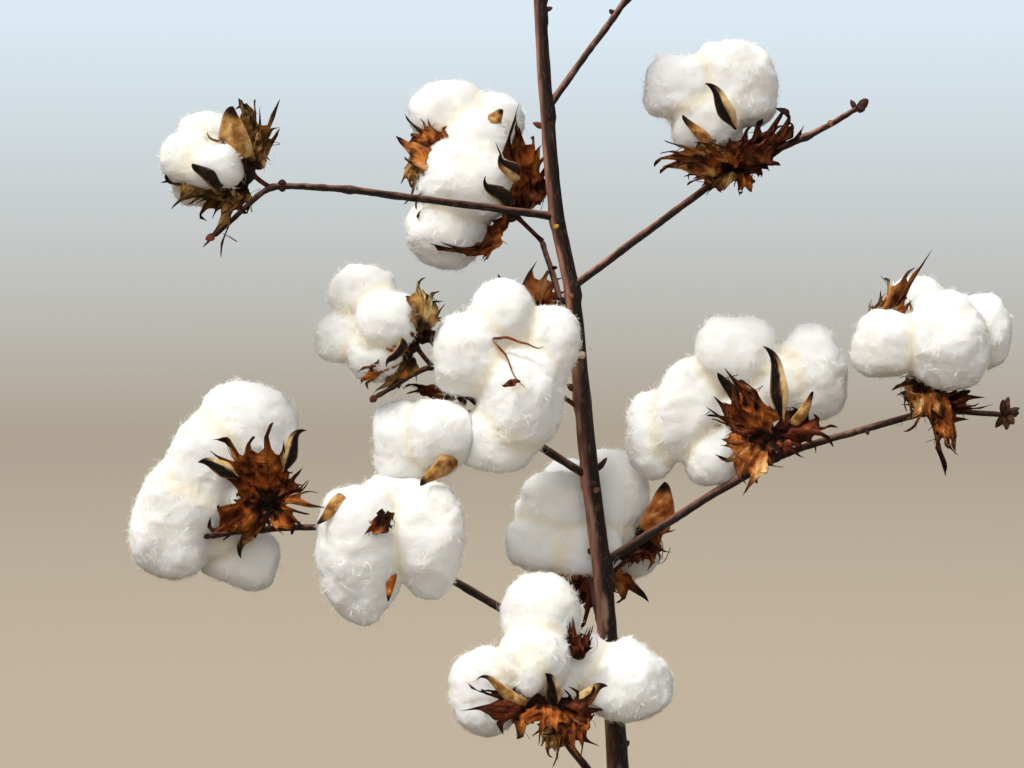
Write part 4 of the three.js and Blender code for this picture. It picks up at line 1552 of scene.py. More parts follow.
PLANS = [
    Plan("high_left", (16, -159, 30), (-172, 8), on=("high_left", 2), lobes=[
        (-23, 3, 22, 30, 26), (-31, -10, 8, 32, 30), (-16, -16, 4, 33, 27),
        (-27, 4, -5, 30, 26),
    ], walls=[
        Blade((-7, -20, 40), 3, 1.2, STRAW, (-0.2, -0.9, 0.3), (-4, -12, 10)),
        Blade((-22, -22, 19), 2, 0.45, DARK, (0.5, 0.1, 0.86), (-8, -16, 12)),
        Blade((-31, -33, 6), 3, 0.7, DARK, (0.0, -0.9, 0.4), (-13, -22, -6)),
    ], bracts=[
        Blade((-4, 4, 52), 5, 0.55, OLIVE, (0.8, -0.6, 0)),
        Blade((6, 2, 38), 4, 0.6, TAN, (0.8, -0.6, 0)),
        Blade((-50, -14, -9), 5, 0.5, OLIVE, (0, -0.9, 0.2), (-6, -10, -4)),
        Blade((-36, -14, -20), 4, 0.6, OLIVE, (0.3, -0.9, -0.3), (-4, -8, -4)),
        Blade((-20, -8, -34), 3, 0.5, TAN, (0.5, -0.7, -0.5)),
    ]),
    Plan("mid_back", (26, -156, 41), (-150, 34), on=("mid_back", 2), lobes=[
        (-39, 3, 60, 44, 37), (-12, 6, 56, 36, 33), (-21, -14, 40, 38, 38),
        (-28, -25, 19, 54, 44, 20), (-38, -17, -9, 47, 45),
    ], walls=[
        Blade((-4, -20, 62), 3, 0.9, TAN, (0.1, -0.9, 0.3), (-15, -18, 48)),
        Blade((-13, -44, 31), 4, 0.8, DARK, (0.2, -0.9, 0.3), (4, -26, 20), -1),
        Blade((-23, -52, 17), 4, 0.85, DARK, (0.2, -0.9, 0.3), (-2, -30, 7)),
    ], bracts=[
        Blade((0, -32, 55), 7, 0.5, RUST, (0.6, -0.8, 0)),
        Blade((15, -14, 42), 5, 0.55, RUST, (0.3, -0.9, 0.2)),
        Blade((16, -20, 22), 4, 0.7, MAROON, (0.5, -0.85, 0.1)),
        Blade((-78, -30, 39), 6, 1.2, AMBER, (-0.4, -0.7, 0.5), (-28, -26, 27)),
        Blade((-62, -28, 56), 4, 0.6, AMBER, (-0.4, -0.7, 0.5), (-38, -25, 32)),
        Blade((-60, -26, 8), 4, 0.5, TAN, (-0.3, -0.9, 0), (-52, -22, 34)),
        Blade((-42, -44, -22), 9, 0.4, RUST, (0.2, -0.5, -0.85), (-2, -24, -4)),
    ]),
    Plan("mid_right", (15, -36, 39), (175, 78), on=("mid_right", 1), lobes=[
        (-31, -6, 44, 40, 38), (2, 3, 47, 52, 52), (-17, -8, 25, 40, 34),
        (-8, 22, 44, 38, 38),
    ], walls=[
        Blade((-14, -38, 50), 4, 0.75, DARK, (-0.4, -0.9, 0), (0, -29, 21), 1),
        Blade((-35, -26, 31), 4, 0.6, TAN, (-0.1, -0.9, 0.3), (-10, -16, 8)),
        Blade((26, 20, 30), 4, 1.1, TAN), Blade((-6, 34, 26), 4, 1.1, DARK),
    ], bracts=[
        Blade((-46, -22, 14), 5, 0.5, AMBER, (0, -0.8, -0.6)),
        Blade((-27, -28, 13), 5, 0.8, AMBER, (-0.1, -0.95, -0.2)),
        Blade((-8, -34, 20), 5, 0.8, RUST, (0, -0.95, -0.2)),
        Blade((40, -14, 40), 7, 0.5, MAROON, (0.4, -0.8, -0.4)),
        Blade((22, -26, 22), 5, 0.7, MAROON, (0.2, -0.95, -0.1)),
        Blade((-9, -16, -17), 4, 0.8, OLIVE, (-0.2, -0.9, 0)),
        Blade((10, -12, -20), 4, 0.6, RUST, (0.3, -0.9, 0)),
    ]),
    Plan("mid_left", (18, -171, 46), (-175, 20), on=("mid_left", 2), lobes=[
        (-29, 8, 29, 36, 31), (-14, -8, 15, 35, 35), (-38, 5, 4, 34, 29),
        (-20, -5, -5, 31, 30),
    ], walls=[
        Blade((-17, -30, -9), 3, 0.6, DARK, (0.2, -0.8, -0.5), (-4, -20, 2)),
        Blade((-24, 22, -6), 3, 1.0, TAN),
    ], bracts=[
        Blade((2, -20, 42), 4, 0.65, STRAW, (0.1, -0.95, 0), (8, -12, 8)),
        Blade((13, -4, 40), 4, 0.4, MAROON, (0.9, -0.4, 0)),
        Blade((14, -10, 14), 2, 0.8, MAROON, (0.4, -0.8, -0.3)),
        Blade((-6, -20, 12), 3, 0.7, MAROON, (0.2, -0.95, 0)),
        Blade((-38, -16, -19), 5, 0.6, RUST, (0.2, -0.8, -0.5), (0, -8, -6)),
        Blade((-26, -12, -26), 4, 0.6, OLIVE, (0.3, -0.8, -0.4), (2, -6, -6)),
    ]),
    Plan("stem_upper", (44, -165, 34), (-115, 8), height=497, roll=30, lobes=[
        (-11, -26, 33, 37, 36), (14, -21, 16, 36, 49), (-31, -32, 11, 44, 47),
        (-3, -37, -14, 46, 58), (-14, -35, -36, 46, 38), (-5, -26, 12, 27, 27),
    ], walls=[
        Blade((-4, -64, -7), 3, 0.25, RUST, (0.9, 0, 0.4), (-18, -46, 19)),
        Blade((12, -54, 9), 5, 0.25, MAROON, (0.2, -0.2, 0.95), (-18, -46, 20)),
        Blade((-13, -67, -6), 2, 0.3, MAROON, (0, -0.9, 0.3), (-6, -62, -3)),
        Blade((0, -67, -2), 2, 0.25, MAROON, (0, -0.9, 0.3), (-6, -62, -3)),
        Blade((-29, -34, 33), 3, 0.6, TAN, (-0.8, -0.6, 0), (-22, -22, 12)),
        Blade((22, 4, -8), 4, 1.0, DARK), Blade((4, 12, 30), 4, 1.1, TAN),
    ], bracts=[
        Blade((18, 14, 20), 4, 0.9, RUST), Blade((12, 12, -26), 4, 0.9, MAROON),
        Blade((-16, 18, 30), 4, 0.9, RUST),
    ]),
    Plan("mid_left_inner", (20, -157, 2), (-130, -24), on=("mid_left", 1), roll=10, lobes=[
        (-31, -7, -15, 35, 51), (-9, -18, -9, 37, 40), (-14, 8, -20, 34, 34),
    ], walls=[
        Blade((-25, -36, -38), 3, 0.95, TAN, (-0.1, -0.85, -0.5), (-3, -27, -22)),
        Blade((22, -6, -26), 4, 1.0, DARK), Blade((2, 24, -20), 4, 1.0, TAN),
    ], bracts=[
        Blade((4, 8, 30), 4, 0.8, RUST), Blade((28, 12, -18), 4, 0.9, MAROON),
        Blade((-30, 14, 16), 4, 0.8, RUST),
    ]),
    Plan("low_left_inner", (28, -137, 78), (-95, -30), on=("low_left", 2), lobes=[
        (-21, -26, -22, 45, 78, -4), (19, -24, -17, 41, 64), (-1, -12, 5, 42, 34),
    ], walls=[
        Blade((-44, -42, -8), 2, 0.7, TAN, (-0.4, -0.9, 0.2), (-29, -36, 8)),
        Blade((-5, -42, -52), 3, 0.45, RUST, (0.1, -0.95, -0.2), (-3, -32, -34)),
        Blade((20, 12, 12), 4, 1.0, DARK),
    ], bracts=[
        Blade((-13, -52, -13), 2, 0.6, RUST, (-0.2, -0.9, 0.4), (-5, -47, 1)),
        Blade((-14, 28, 16), 4, 0.9, RUST), Blade((-32, 16, -22), 4, 0.9, MAROON),
        Blade((30, 16, -22), 4, 0.9, RUST),
    ]),
    Plan("stem_lower", (46, 57, 25), (-165, 24), height=398, lobes=[
        (-48, -4, 22, 46, 36), (-57, -7, -1, 48, 35), (-17, 2, 31, 44, 50),
        (-33, -10, -4, 44, 32), (-26, 18, 12, 40, 38),
    ], walls=[
        Blade((14, -12, 40), 5, 1.3, AMBER, (0.3, -0.9, 0), (8, -4, 8)),
        Blade((-20, -20, -8), 3, 0.8, DARK, (0.1, -0.9, -0.4)),
        Blade((10, 26, 22), 4, 1.1, DARK),
    ], bracts=[
        Blade((14, -10, -10), 3, 0.8, MAROON, (0.3, -0.9, 0)),
        Blade((-14, -12, -12), 3, 0.8, MAROON, (-0.2, -0.9, -0.2)),
        Blade((18, 30, 4), 4, 0.9, RUST),
    ]),
    Plan("low_front", (11, -91, 64), (120, 66), on=("low_front", 1), lobes=[
        (-43, -8, 20, 41, 52), (-12, 5, 61, 44, 50), (-17, -14, 38, 37, 36),
        (38, 14, 19, 55, 47), (10, 16, 32, 40, 36), (-18, -27, 29, 16, 26),
    ], walls=[
        Blade((-47, -34, 38), 3, 0.6, STRAW, (-0.2, -0.9, -0.3), (-22, -26, 14)),
        Blade((-8, -30, 36), 3, 0.7, DARK, (0.2, -0.9, 0), (-4, -20, 12), 1),
        Blade((24, -14, 27), 3, 0.7, TAN, (0.3, -0.9, 0), (6, -12, 10), -1),
        Blade((0, 40, 14), 4, 1.1, DARK),
    ], bracts=[
        Blade((-54, -34, 17), 5, 0.5, MAROON, (-0.1, -0.9, 0.4), (-14, -24, 12)),
        Blade((-16, -34, -12), 6, 1.1, RUST, (-0.1, -0.95, 0.3), (-10, -22, 19)),
        Blade((6, -30, -17), 5, 0.8, RUST, (0.2, -0.95, 0.2), (2, -16, 14)),
        Blade((-8, -30, -20), 4, 0.5, TAN, (0.1, -0.95, 0.2), (-4, -18, 8)),
        Blade((28, -26, 12), 5, 0.7, MAROON, (0.2, -0.9, 0.2), (-2, -18, 8)),
        Blade((22, -22, -4), 4, 0.7, MAROON, (0.3, -0.9, 0.1)),
        Blade((3, -12, 68), 2, 0.3, MAROON, (0.2, -0.9, 0), (11, -6, 36)),
        Blade((16, -12, 60), 3, 0.25, MAROON, (0.2, -0.9, 0), (9, -6, 36)),
    ]),
    Plan("low_right", (16, -121, 54), (112, 26), on=("low_right", 1), lobes=[
        (-17, 25, 47, 46, 46), (28, 26, 34, 39, 54), (-46, 26, 13, 40, 60, 10),
        (-65, 31, -1, 31, 54), (-30, 22, -12, 34, 34), (6, 24, 28, 38, 38),
    ], walls=[
        Blade((2, -10, 57), 4, 0.75, DARK, (-0.1, -0.95, 0), (7, -8, 10), 1),
        Blade((-34, -14, 41), 5, 0.8, DARK, (-0.4, -0.8, 0.3), (-10, -8, 16)),
        Blade((25, -8, 30), 3, 0.55, TAN, (0.4, -0.9, 0), (14, -6, 8)),
        Blade((-10, 26, -26), 4, 1.0, TAN),
    ], bracts=[
        Blade((-32, -20, 35), 5, 0.5, RUST, (-0.1, -0.95, 0.2)),
        Blade((-36, -16, 20), 5, 0.45, MAROON, (-0.1, -0.95, 0.2)),
        Blade((-24, -18, -22), 5, 1.0, AMBER, (-0.1, -0.95, 0)),
        Blade((40, -14, 9), 6, 0.65, MAROON, (0.1, -0.9, 0.3)),
        Blade((16, -14, -10), 4, 0.8, MAROON, (0.1, -0.9, 0.1)),
    ]),
    Plan("low_right_outer", (9, -101, 77), (-95, 82), on=("low_right", 2), lobes=[
        (-26, -16, 30, 35, 37), (9, -18, 32, 44, 54), (31, 3, 37, 37, 48),
        (-4, 12, 51, 38, 36),
    ], walls=[
        Blade((-14, -26, 56), 2, 0.3, RUST, (-0.3, -0.2, 0.9), (-6, -18, 34)),
        Blade((26, -20, 8), 4, 0.6, DARK, (0.2, -0.8, -0.5)),
        Blade((-20, -26, 8), 3, 0.6, TAN, (-0.2, -0.8, -0.5)),
        Blade((4, 30, 18), 4, 1.1, DARK),
    ], bracts=[
        Blade((-20, -16, -8), 3, 0.85, TAN, (-0.1, -0.9, 0.1), (-4, -8, 8)),
        Blade((0, -20, -22), 4, 0.7, AMBER, (0.1, -0.95, 0), (-2, -12, 10)),
        Blade((9, -22, -40), 5, 0.3, RUST, (0.1, -0.95, 0), (2, -14, 6)),
        Blade((22, -18, -6), 4, 0.7, MAROON, (0.1, -0.9, -0.2)),
        Blade((36, -14, 0), 5, 0.5, MAROON, (0.1, -0.9, -0.3)),
        Blade((-3, -10, 76), 5, 0.42, AMBER, (-0.5, -0.9, 0), (-29, -6, 38)),
        Blade((-20, -12, 64), 4, 0.4, TAN, (-0.5, -0.9, 0), (-29, -6, 40)),
    ]),
    Plan("low_left_outer", (19, -48, 69), (148, 6), on=("low_left", 4), lobes=[
        (-14, 18, 39, 57, 50, 10), (-36, 13, 19, 50, 60, 30), (-53, 12, -13, 50, 66, 24),
        (-20, 30, -36, 46, 37, 20), (-32, 24, -16, 38, 40),
    ], walls=[
        Blade((17, -18, 47), 4, 0.7, DARK, (0.3, -0.9, 0), (9, -10, 16), -1),
        Blade((-38, -26, 27), 3, 0.65, DARK, (0, -0.9, 0.3), (-16, -17, 14), 1),
        Blade((-24, 14, -30), 4, 1.0, TAN),
    ], bracts=[
        Blade((-14, -24, 48), 6, 0.72, RUST, (-0.1, -0.95, -0.1)),
        Blade((-38, -16, -18), 5, 0.6, RUST, (0, -0.95, -0.1)),
        Blade((28, -16, -8), 6, 0.85, RUST, (0.2, -0.95, 0)),
        Blade((-4, -12, -14), 4, 0.8, DARK, (0, -0.95, 0.1)),
        Blade((25, -12, 18), 4, 0.5, MAROON, (0.3, -0.9, 0.1)),
    ]),
    Plan("mid_back_inner", (26, 135, -25), (120, -35), on=("mid_back", 1), roll=20, size=0.86),
    Plan("low_back_inner", (18, 60, 40), (60, 36), on=("low_back", 1), roll=10, size=0.92),
    Plan("low_back_outer", (18, 104, 34), (98, 14), on=("low_back", 2), roll=40, size=0.94),
    Plan("base_right", (20, 24, 44), (14, 36), on=("base_right", 2), roll=20),
    Plan("base_left", (18, 158, 34), (168, 26), on=("base_left", 2), roll=75, size=0.98),
    Plan("base_front", (18, -44, 14), (-60, 4), on=("base_front", 2), roll=35, size=0.95),
    Plan("high_right", (18, -40, 50), (-30, 60), on=("high_right", 2), roll=15, size=0.92),
    Plan("high_back", (16, 84, 54), (88, 40), on=("high_back", 2), roll=40, size=0.88),
    Plan("top_front", (15, -84, 46), (-96, 34), on=("top_front", 2), roll=5, size=0.82),
    Plan("top_left", (14, 150, 46), (160, 34), on=("top_left", 2), roll=55, size=0.78),
]


class Draws:
    """Even draws from 0 to 1, the same that the solids use."""

    FACTOR = 16807
    LIMIT = 2147483647

    def __init__(self, seed: int) -> None:
        """Starts the row of draws."""
        self.state = seed

    def __call__(self) -> float:
        """The next draw."""
        self.state = (self.state * self.FACTOR) % self.LIMIT
        return self.state / self.LIMIT


@dataclass(frozen=True)
class Whorl:
    """Shapes spread evenly round a boll's axis."""

    count: int
    roll: float
    opening: float
    jitter: float
    length: float


@dataclass(frozen=True)
class Rule:
    """How the shapes that a plan leaves out stand, for a boll of size 1."""

    valves: Whorl = Whorl(4, 0, 92, 12, 40)
    bracts: Whorl = Whorl(3, 30, 106, 14, 42)
    lobes: Whorl = Whorl(4, 45, 42, 10, 27)
    lobe_wide: float = 37
    lobe_tall: float = 42
    droop: float = 4
    size_jitter: float = 0.16


@dataclass
class Cup:
    """The boll's round base with its ragged rim, and the stalk that carries it.

    The profile is the base's section from below, each row (out, up) in shares of its radius and
    depth. Its lip is wavy with the row before it, and paler.
    """

    radius: float = 6.2
    depth: float = 0.75
    stalk_diameter: float = 2.7
    sides: int = 20
    stalk_sides: int = 10
    profile: tuple = (
        (0.16, -0.98), (0.5, -0.9), (0.82, -0.6), (1.0, -0.2), (1.1, 0.15), (1.26, 0.42),
        (1.2, 0.5), (1.02, 0.3), (0.9, 0.5), (0.6, 0.75), (0.2, 0.85),
    )
    lip: tuple = (5, 7)
    dark: str = "0e0604"
    mid: str = "2c170d"
    pale: str = "54351c"
    stalk: str = "5a2f22"

    def add(self, shape: Shape, f: "Frame", size: float, seed: int) -> None:
        """Adds the cup and the stalk to a shape.

        Args:
            shape: what they are added to.
            f: the boll's frame.
            size: the boll's size.
            seed: picks its own relief.
        """
        around = turns(self.sides)
        ring = hoop(f.side, f.other, around)
        out, up = np.array(self.profile).T[:, :, None]
        wave = 1 + 0.16 * np.cos(5 * around + seed)[None]
        step = np.arange(len(out))[:, None]
        start, stop = self.lip
        high = self.radius * self.depth * size * up * np.where((step >= start) & (step < stop), wave, 1)
        wide = self.radius * size * out * np.where((step >= start - 1) & (step < stop), wave, 1)
        rings = f.base + ring * wide[..., None] + f.axis * high[..., None]
        spots = noise(rings, 2.4, seed)
        tint = coated(self.mid, (self.dark, smooth(-0.4, 0.5, spots)))
        tint[start:stop] = coated(tint[start:stop], (self.pale, 0.5))
        rings += unit(rings - f.base) * (spots * 0.25)[..., None]
        shape.tube(rings * MM, tint, pairs(around[None], step) * 0.004)
        self.add_stalk(shape, f, size, seed)

    def add_stalk(self, shape: Shape, f: "Frame", size: float, seed: int) -> None:
        """Adds the grooved stalk from the limb's joint to the cup.

        Args:
            shape: what it is added to.
            f: the boll's frame.
            size: the boll's size.
            seed: picks its own spots.
        """
        run = f.base - f.root
        span = np.linalg.norm(run)
        middle = (f.root + f.base) / 2 - f.axis * span * 0.05
        line = Spline([f.root, middle, f.base - f.axis * 3 * size], Fit.TAUT, 0.4)
        t = np.linspace(0, 1, max(8, int(span / 1.6)))
        along = line.tangent(t)
        across = unit(np.cross(along, UP + 0.01 * unit(run)))
        around = turns(self.stalk_sides)
        radius = self.stalk_diameter / 2 * (1 + 0.5 * smooth(0.72, 1, t) + 0.3 * (1 - smooth(0, 0.2, t)))
        groove = 1 + 0.07 * np.cos(3 * around)[None]
        dirs = hoop(across, np.cross(across, along), around)
        rings = line.at(t)[:, None] + dirs * (radius[:, None] * groove)[..., None]
        tint = coated(self.stalk, (self.dark, smooth(-0.5, 0.5, noise(rings, 2.5, seed + 9))))
        shape.tube(rings * MM, tint, pairs(around[None] * 1.4, t[:, None] * span) * MM)


@dataclass
class Frame:
    """A boll's place: its stalk's start, its base, its axis and two directions square to that."""

    root: Array
    base: Array
    axis: Array
    side: Array
    other: Array

    @classmethod
    def of(cls, plan: Plan, stem: Stem, limbs: dict) -> "Frame":
        """Finds the frame of a plan.

        Args:
            plan: the boll's plan.
            stem: the main stem.
            limbs: the limbs by name.

        Returns:
            The frame.
        """
        root = limbs[plan.on[0]].points(stem)[plan.on[1]] if plan.on else stem.point(plan.height)
        length, turn, rise = plan.stalk
        axis = direction(*plan.opens)
        reference = UP if abs(axis @ VIEWER) > 0.9 else VIEWER
        side = unit(reference - axis * (reference @ axis))
        return cls(root, root + direction(turn, rise) * length, axis, side, np.cross(axis, side))


@dataclass
class Boll:
    """One open boll: walls and cup, bracts, locks and lint."""

    plan: Plan
    number: int
    frame: Frame
    rule: Rule = field(default_factory=Rule)
    wall: Wall = field(default_factory=Wall)
    bract: Bract = field(default_factory=Bract)
    cup: Cup = field(default_factory=Cup)
    lobe_depth: float = 0.9
    voxel: float = 1.55
    core_start: float = 3.2
    core_past: float = 4.0
    core_widest: float = 13.0
    soften: float = 0.6
    soften_steps: int = 14
    pillow: float = 2.4
    sag: float = 0.06
    clearance: float = 1.06
    cover_limit: float = 17.0
    white: str = "fcfaf5"
    cream: str = "f0e2c6"
    straw: str = "d9bd90"
    walls: list = field(init=False)
    bracts: list = field(init=False)
    lobes: list = field(init=False)

    def __post_init__(self) -> None:
        """Fills what the plan leaves out, by the rule."""
        plan, draws = self.plan, Draws(100 + self.number)
        self.walls = plan.walls or self.rule_blades(self.rule.valves, self.wall, draws, (DARK, TAN))
        self.bracts = plan.bracts or self.rule_blades(
            self.rule.bracts, self.bract, draws, (RUST, AMBER, MAROON))
        self.lobes = plan.lobes or self.rule_lobes(draws)

    def rule_blades(self, kind: Whorl, form: object, draws: Draws, tones: tuple) -> list:
        """Blades by the rule.

        Args:
            kind: how they stand.
            form: the Wall or Bract that they are made as.
            draws: the boll's draws.
            tones: the tones that they take in turn.

        Returns:
            A Blade for each.
        """
        found = []
        f, size = self.frame, self.plan.size
        for number, (turn, rise, length) in enumerate(self.whorl(kind, draws)):
            toward = direction(turn, rise)
            side = unit(toward - f.axis * (toward @ f.axis))
            tip = side * form.root * size + f.axis * form.shift * size + toward * length * size
            bow = length * size * math.radians(form.curl) / 8
            found.append(Blade(tuple(tip), bow, 0.9, tones[(number + self.number) % len(tones)]))
        return found

    def whorl(self, kind: Whorl, draws: Draws) -> list:
        """Directions spread evenly round the axis, each (turn, rise, length).

        Args:
            kind: how they stand.
            draws: the boll's draws.

        Returns:
            A list of them.
        """
        found = []
        f = self.frame
        for i in range(kind.count):
            turn = kind.roll + self.plan.roll + 360 * i / kind.count
            around = math.radians(turn + (draws() - 0.5) * kind.jitter)
            tilt = math.radians(kind.opening + (draws() - 0.5) * kind.jitter)
            toward = f.axis * math.cos(tilt) + math.sin(tilt) * (
                f.side * math.cos(around) + f.other * math.sin(around))
            length = kind.length * (1 + (draws() - 0.5) * self.rule.size_jitter)
            angles = math.atan2(toward[1], toward[0]), math.asin(toward[2])
            found.append((*map(math.degrees, angles), length))
        return found

    def rule_lobes(self, draws: Draws) -> list:
        """Lobes by the rule, each (right, back, up, wide, tall).

        Args:
            draws: the boll's draws.

        Returns:
            A list of them.
        """
        found = []
        size, rule = self.plan.size, self.rule
        for turn, rise, reach in self.whorl(rule.lobes, draws):
            p = direction(turn, rise) * reach * size
            wide = rule.lobe_wide * size * (1 + (draws() - 0.5) * rule.size_jitter)
            tall = rule.lobe_tall * size * (1 + (draws() - 0.5) * rule.size_jitter)
            found.append((p[0], p[1], p[2] - rule.droop * size, wide, tall))
        return found

    def husk(self, walls_finish: Material, bract_finish: Material,
             threads: GeometryTree, fibre: Material) -> None:
        """Makes the walls with the cup, and the bracts with a few dry threads.

        Args:
            walls_finish: the walls' material.
            bract_finish: the bracts' material.
            threads: the tree that grows threads.
            fibre: the threads' material.
        """
        name, size, f = self.plan.name, self.plan.size, self.frame
        rng = np.random.default_rng(500 + self.number)
        walls, leaves = Shape(), Shape()
        self.cup.add(walls, f, size, self.number)
        for shape, form, blades in ((walls, self.wall, self.walls), (leaves, self.bract, self.bracts)):
            for blade in blades:
                path = blade.path(f, self.middle(), size, form.root, form.shift)
                form.add(shape, path, blade, self, rng)
        hand_over(walls.build(f"walls_{name}", walls_finish), "husk", f"husk_{name}")
        frill = leaves.build(f"bracts_{name}", bract_finish)
        hand_over(frill, "husk", f"husk_{name}")
        self.grow(frill, threads, fibre, "husk")

    def lobe_frames(self) -> list:
        """The lobes in the plant's frame.

        Returns:
            Each one's centre, its half sizes and its lean in radians.
        """
        found = []
        for right, back, up, wide, tall, *lean in self.lobes:
            half = np.array([wide, min(wide, tall) * self.lobe_depth, tall]) / 2
            found.append((self.frame.base + np.array([right, back, up]), half, math.radians(sum(lean))))
        return found

    def cover(self, points: Array, outward: Array) -> Array:
        """How far points must move outwards to lie on the cotton.

        Args:
            points: places in millimetres.
            outward: the direction in which each may move.

        Returns:
            A distance for each point, 0 where it is clear of the cotton.
        """
        far = np.zeros(points.shape[:-1])
        way = np.broadcast_to(outward, points.shape)
        for centre, half, lean in self.lobe_frames():
            p = self.turned(points - centre, -lean) / (half * self.clearance)
            d = self.turned(way, -lean) / (half * self.clearance)
            a, b, c = (d * d).sum(-1), (p * d).sum(-1), (p * p).sum(-1) - 1
            way_out = (-b + np.sqrt(np.maximum(b * b - a * c, 0))) / a
            far = np.maximum(far, np.where(c < 0, way_out, 0))
        return np.minimum(far, self.cover_limit)

    @staticmethod
    def turned(points: Array, lean: float) -> Array:
        """Points leaned to the right as the viewer sees them.

        Args:
            points: the points.
            lean: the angle, in radians.

        Returns:
            The leaned points.
        """
        c, s = math.cos(lean), math.sin(lean)
        x, z = points[..., 0] * c + points[..., 2] * s, -points[..., 0] * s + points[..., 2] * c
        return np.stack([x, points[..., 1], z], -1)

    def locks(self, ball: tuple, nap: GeometryTree, lint: list, finish: Material,
              fibre: Material) -> None:
        """Makes the cotton: one soft body of lobes, and the fibres on it.

        Args:
            ball: points and faces of a round ball of radius 1.
            nap: the tree that raises the surface.
            lint: the trees that grow fibres.
            finish: the cotton's material.
            fibre: the fibres' material.
        """
        name = self.plan.name
        shape = Shape()
        sphere, faces = ball
        plain, no_map = colour(self.white), np.zeros((len(sphere), 2))
        for number, (centre, half, lean) in enumerate(self.lobe_frames()):
            seed = self.number * 17 + number
            lumps = 1.0 + 0.13 * noise(sphere * half, 21, seed) + 0.05 * noise(sphere * half, 8, seed + 5)
            pillow = (np.abs(sphere) ** self.pillow).sum(1) ** (-1 / self.pillow)
            body = sphere * (pillow * lumps)[:, None] * half
            taper = 0.09 * min(max(half[2] / half[0] - 1.1, 0) * 2, 1) * body[:, 2] / half[2]
            body[:, :2] *= (1 + taper)[:, None]
            sag = -self.sag * half[2] * (1 - (body[:, 2] / half[2]) ** 2)
            body = body + UP * sag[:, None]
            shape.add((centre + self.turned(body, lean)) * MM, [faces], plain, no_map)
        shape.add(self.core(sphere) * MM, [faces], plain, no_map)
        piece = shape.build(f"locks_{name}", finish)
        remesh = piece.modifiers.new("join", "REMESH")
        remesh.mode, remesh.voxel_size = "VOXEL", self.voxel * MM
        soft = piece.modifiers.new("soften", "SMOOTH")
        soft.factor, soft.iterations = self.soften, self.soften_steps
        nap.put_on(piece, {"Material": finish})
        settle(piece)
        piece.data.polygons.foreach_set("use_smooth", np.ones(len(piece.data.polygons), bool))
        self.colour_cotton(piece.data)
        for tree in lint:
            self.grow(piece, tree, fibre, "cotton")
        hand_over(piece, "cotton", f"cotton_{name}")

    def middle(self) -> Array:
        """The middle of the lobes, from the boll's base."""
        return np.mean([lobe[:3] for lobe in self.lobes], axis=0)

    def core(self, sphere: Array) -> Array:
        """The body that runs from the cup to the lobes' middle.

        Args:
            sphere: the points of a ball of radius 1.

        Returns:
            Its points, in millimetres.
        """
        size, f, middle = self.plan.size, self.frame, self.middle()
        along = unit(middle)
        across = unit(np.cross(along, f.side))
        outward = np.cross(across, along)
        half = (np.linalg.norm(middle) + self.core_past - self.core_start * size) / 2
        radius = min(half, self.core_widest)
        centre = f.base + along * (self.core_start * size + half)
        return centre + sphere[:, :1] * across * radius + sphere[:, 1:2] * outward * radius * -1 + (
            sphere[:, 2:3] * along * half)

    def colour_cotton(self, mesh: bpy.types.Mesh) -> None:
        """Tints the cotton: white, with painted shade in cream in the folds between locks, creamy dapples
        here and there, and straw near the husk.

        Args:
            mesh: its mesh.
        """
        points = np.empty(len(mesh.vertices) * 3, np.float32)
        mesh.vertices.foreach_get("co", points)
        points = points.reshape(-1, 3) / MM
        gaps = []
        for centre, half, lean in self.lobe_frames():
            local = self.turned(points - centre, -lean)
            gaps.append((np.linalg.norm(local / half, axis=1) - 1) * half.mean())
        gaps = np.sort(np.array(gaps), axis=0)
        # Painted shade: cream where two lobes meet, standing for the shade in the folds between them.
        fold_shade = 1 - smooth(0.5, 7.0, gaps[1] - gaps[0])
        near = 1 - smooth(4, 26, np.linalg.norm(points - self.frame.base, axis=1))
        dapple = smooth(0.1, 0.9, noise(points, 14, self.number))
        tints = coated(
            self.white, (self.cream, fold_shade * 0.55 + dapple * 0.14), (self.straw, near * 0.6),
        )
        stain(mesh, tints)

    def grow(self, body: Object, tree: GeometryTree, fibre: Material, part: str) -> None:
        """Grows one kind of fibre on the cotton or the husk as a piece of its own.

        Args:
            body: what it grows on.
            tree: the tree that grows it.
            fibre: its material.
            part: husk or cotton.
        """
        name = f"{tree.tree.name}_{self.plan.name}"
        piece = place(bpy.data.objects.new(name, body.data.copy()))
        tree.put_on(piece, {"Seed": self.number, "Material": fibre})
        settle(piece)
        hand_over(piece, part, f"{part}_{self.plan.name}")


@dataclass(frozen=True)
class Lamp:
    """A far soft lamp: its strength, how wide it looks in degrees, its colour and where it shines from."""

    name: str
    strength: float
    wide: float
    tint: tuple
    turn: float
    rise: float

    def build(self) -> None:
        """Puts the lamp into the scene."""
        data = bpy.data.lights.new(self.name, "SUN")
        data.energy, data.angle, data.color = self.strength, math.radians(self.wide), self.tint
        lamp = place(bpy.data.objects.new(self.name, data))
        lamp.rotation_euler = (math.radians(90 - self.rise), 0, math.radians(self.turn + 90))


LAMPS = [
    Lamp("key", strength=3.2, wide=16, tint=(1.0, 0.965, 0.90), turn=-136, rise=59),
    Lamp("front", strength=1.12, wide=40, tint=(1.0, 0.97, 0.93), turn=-93, rise=24),
]


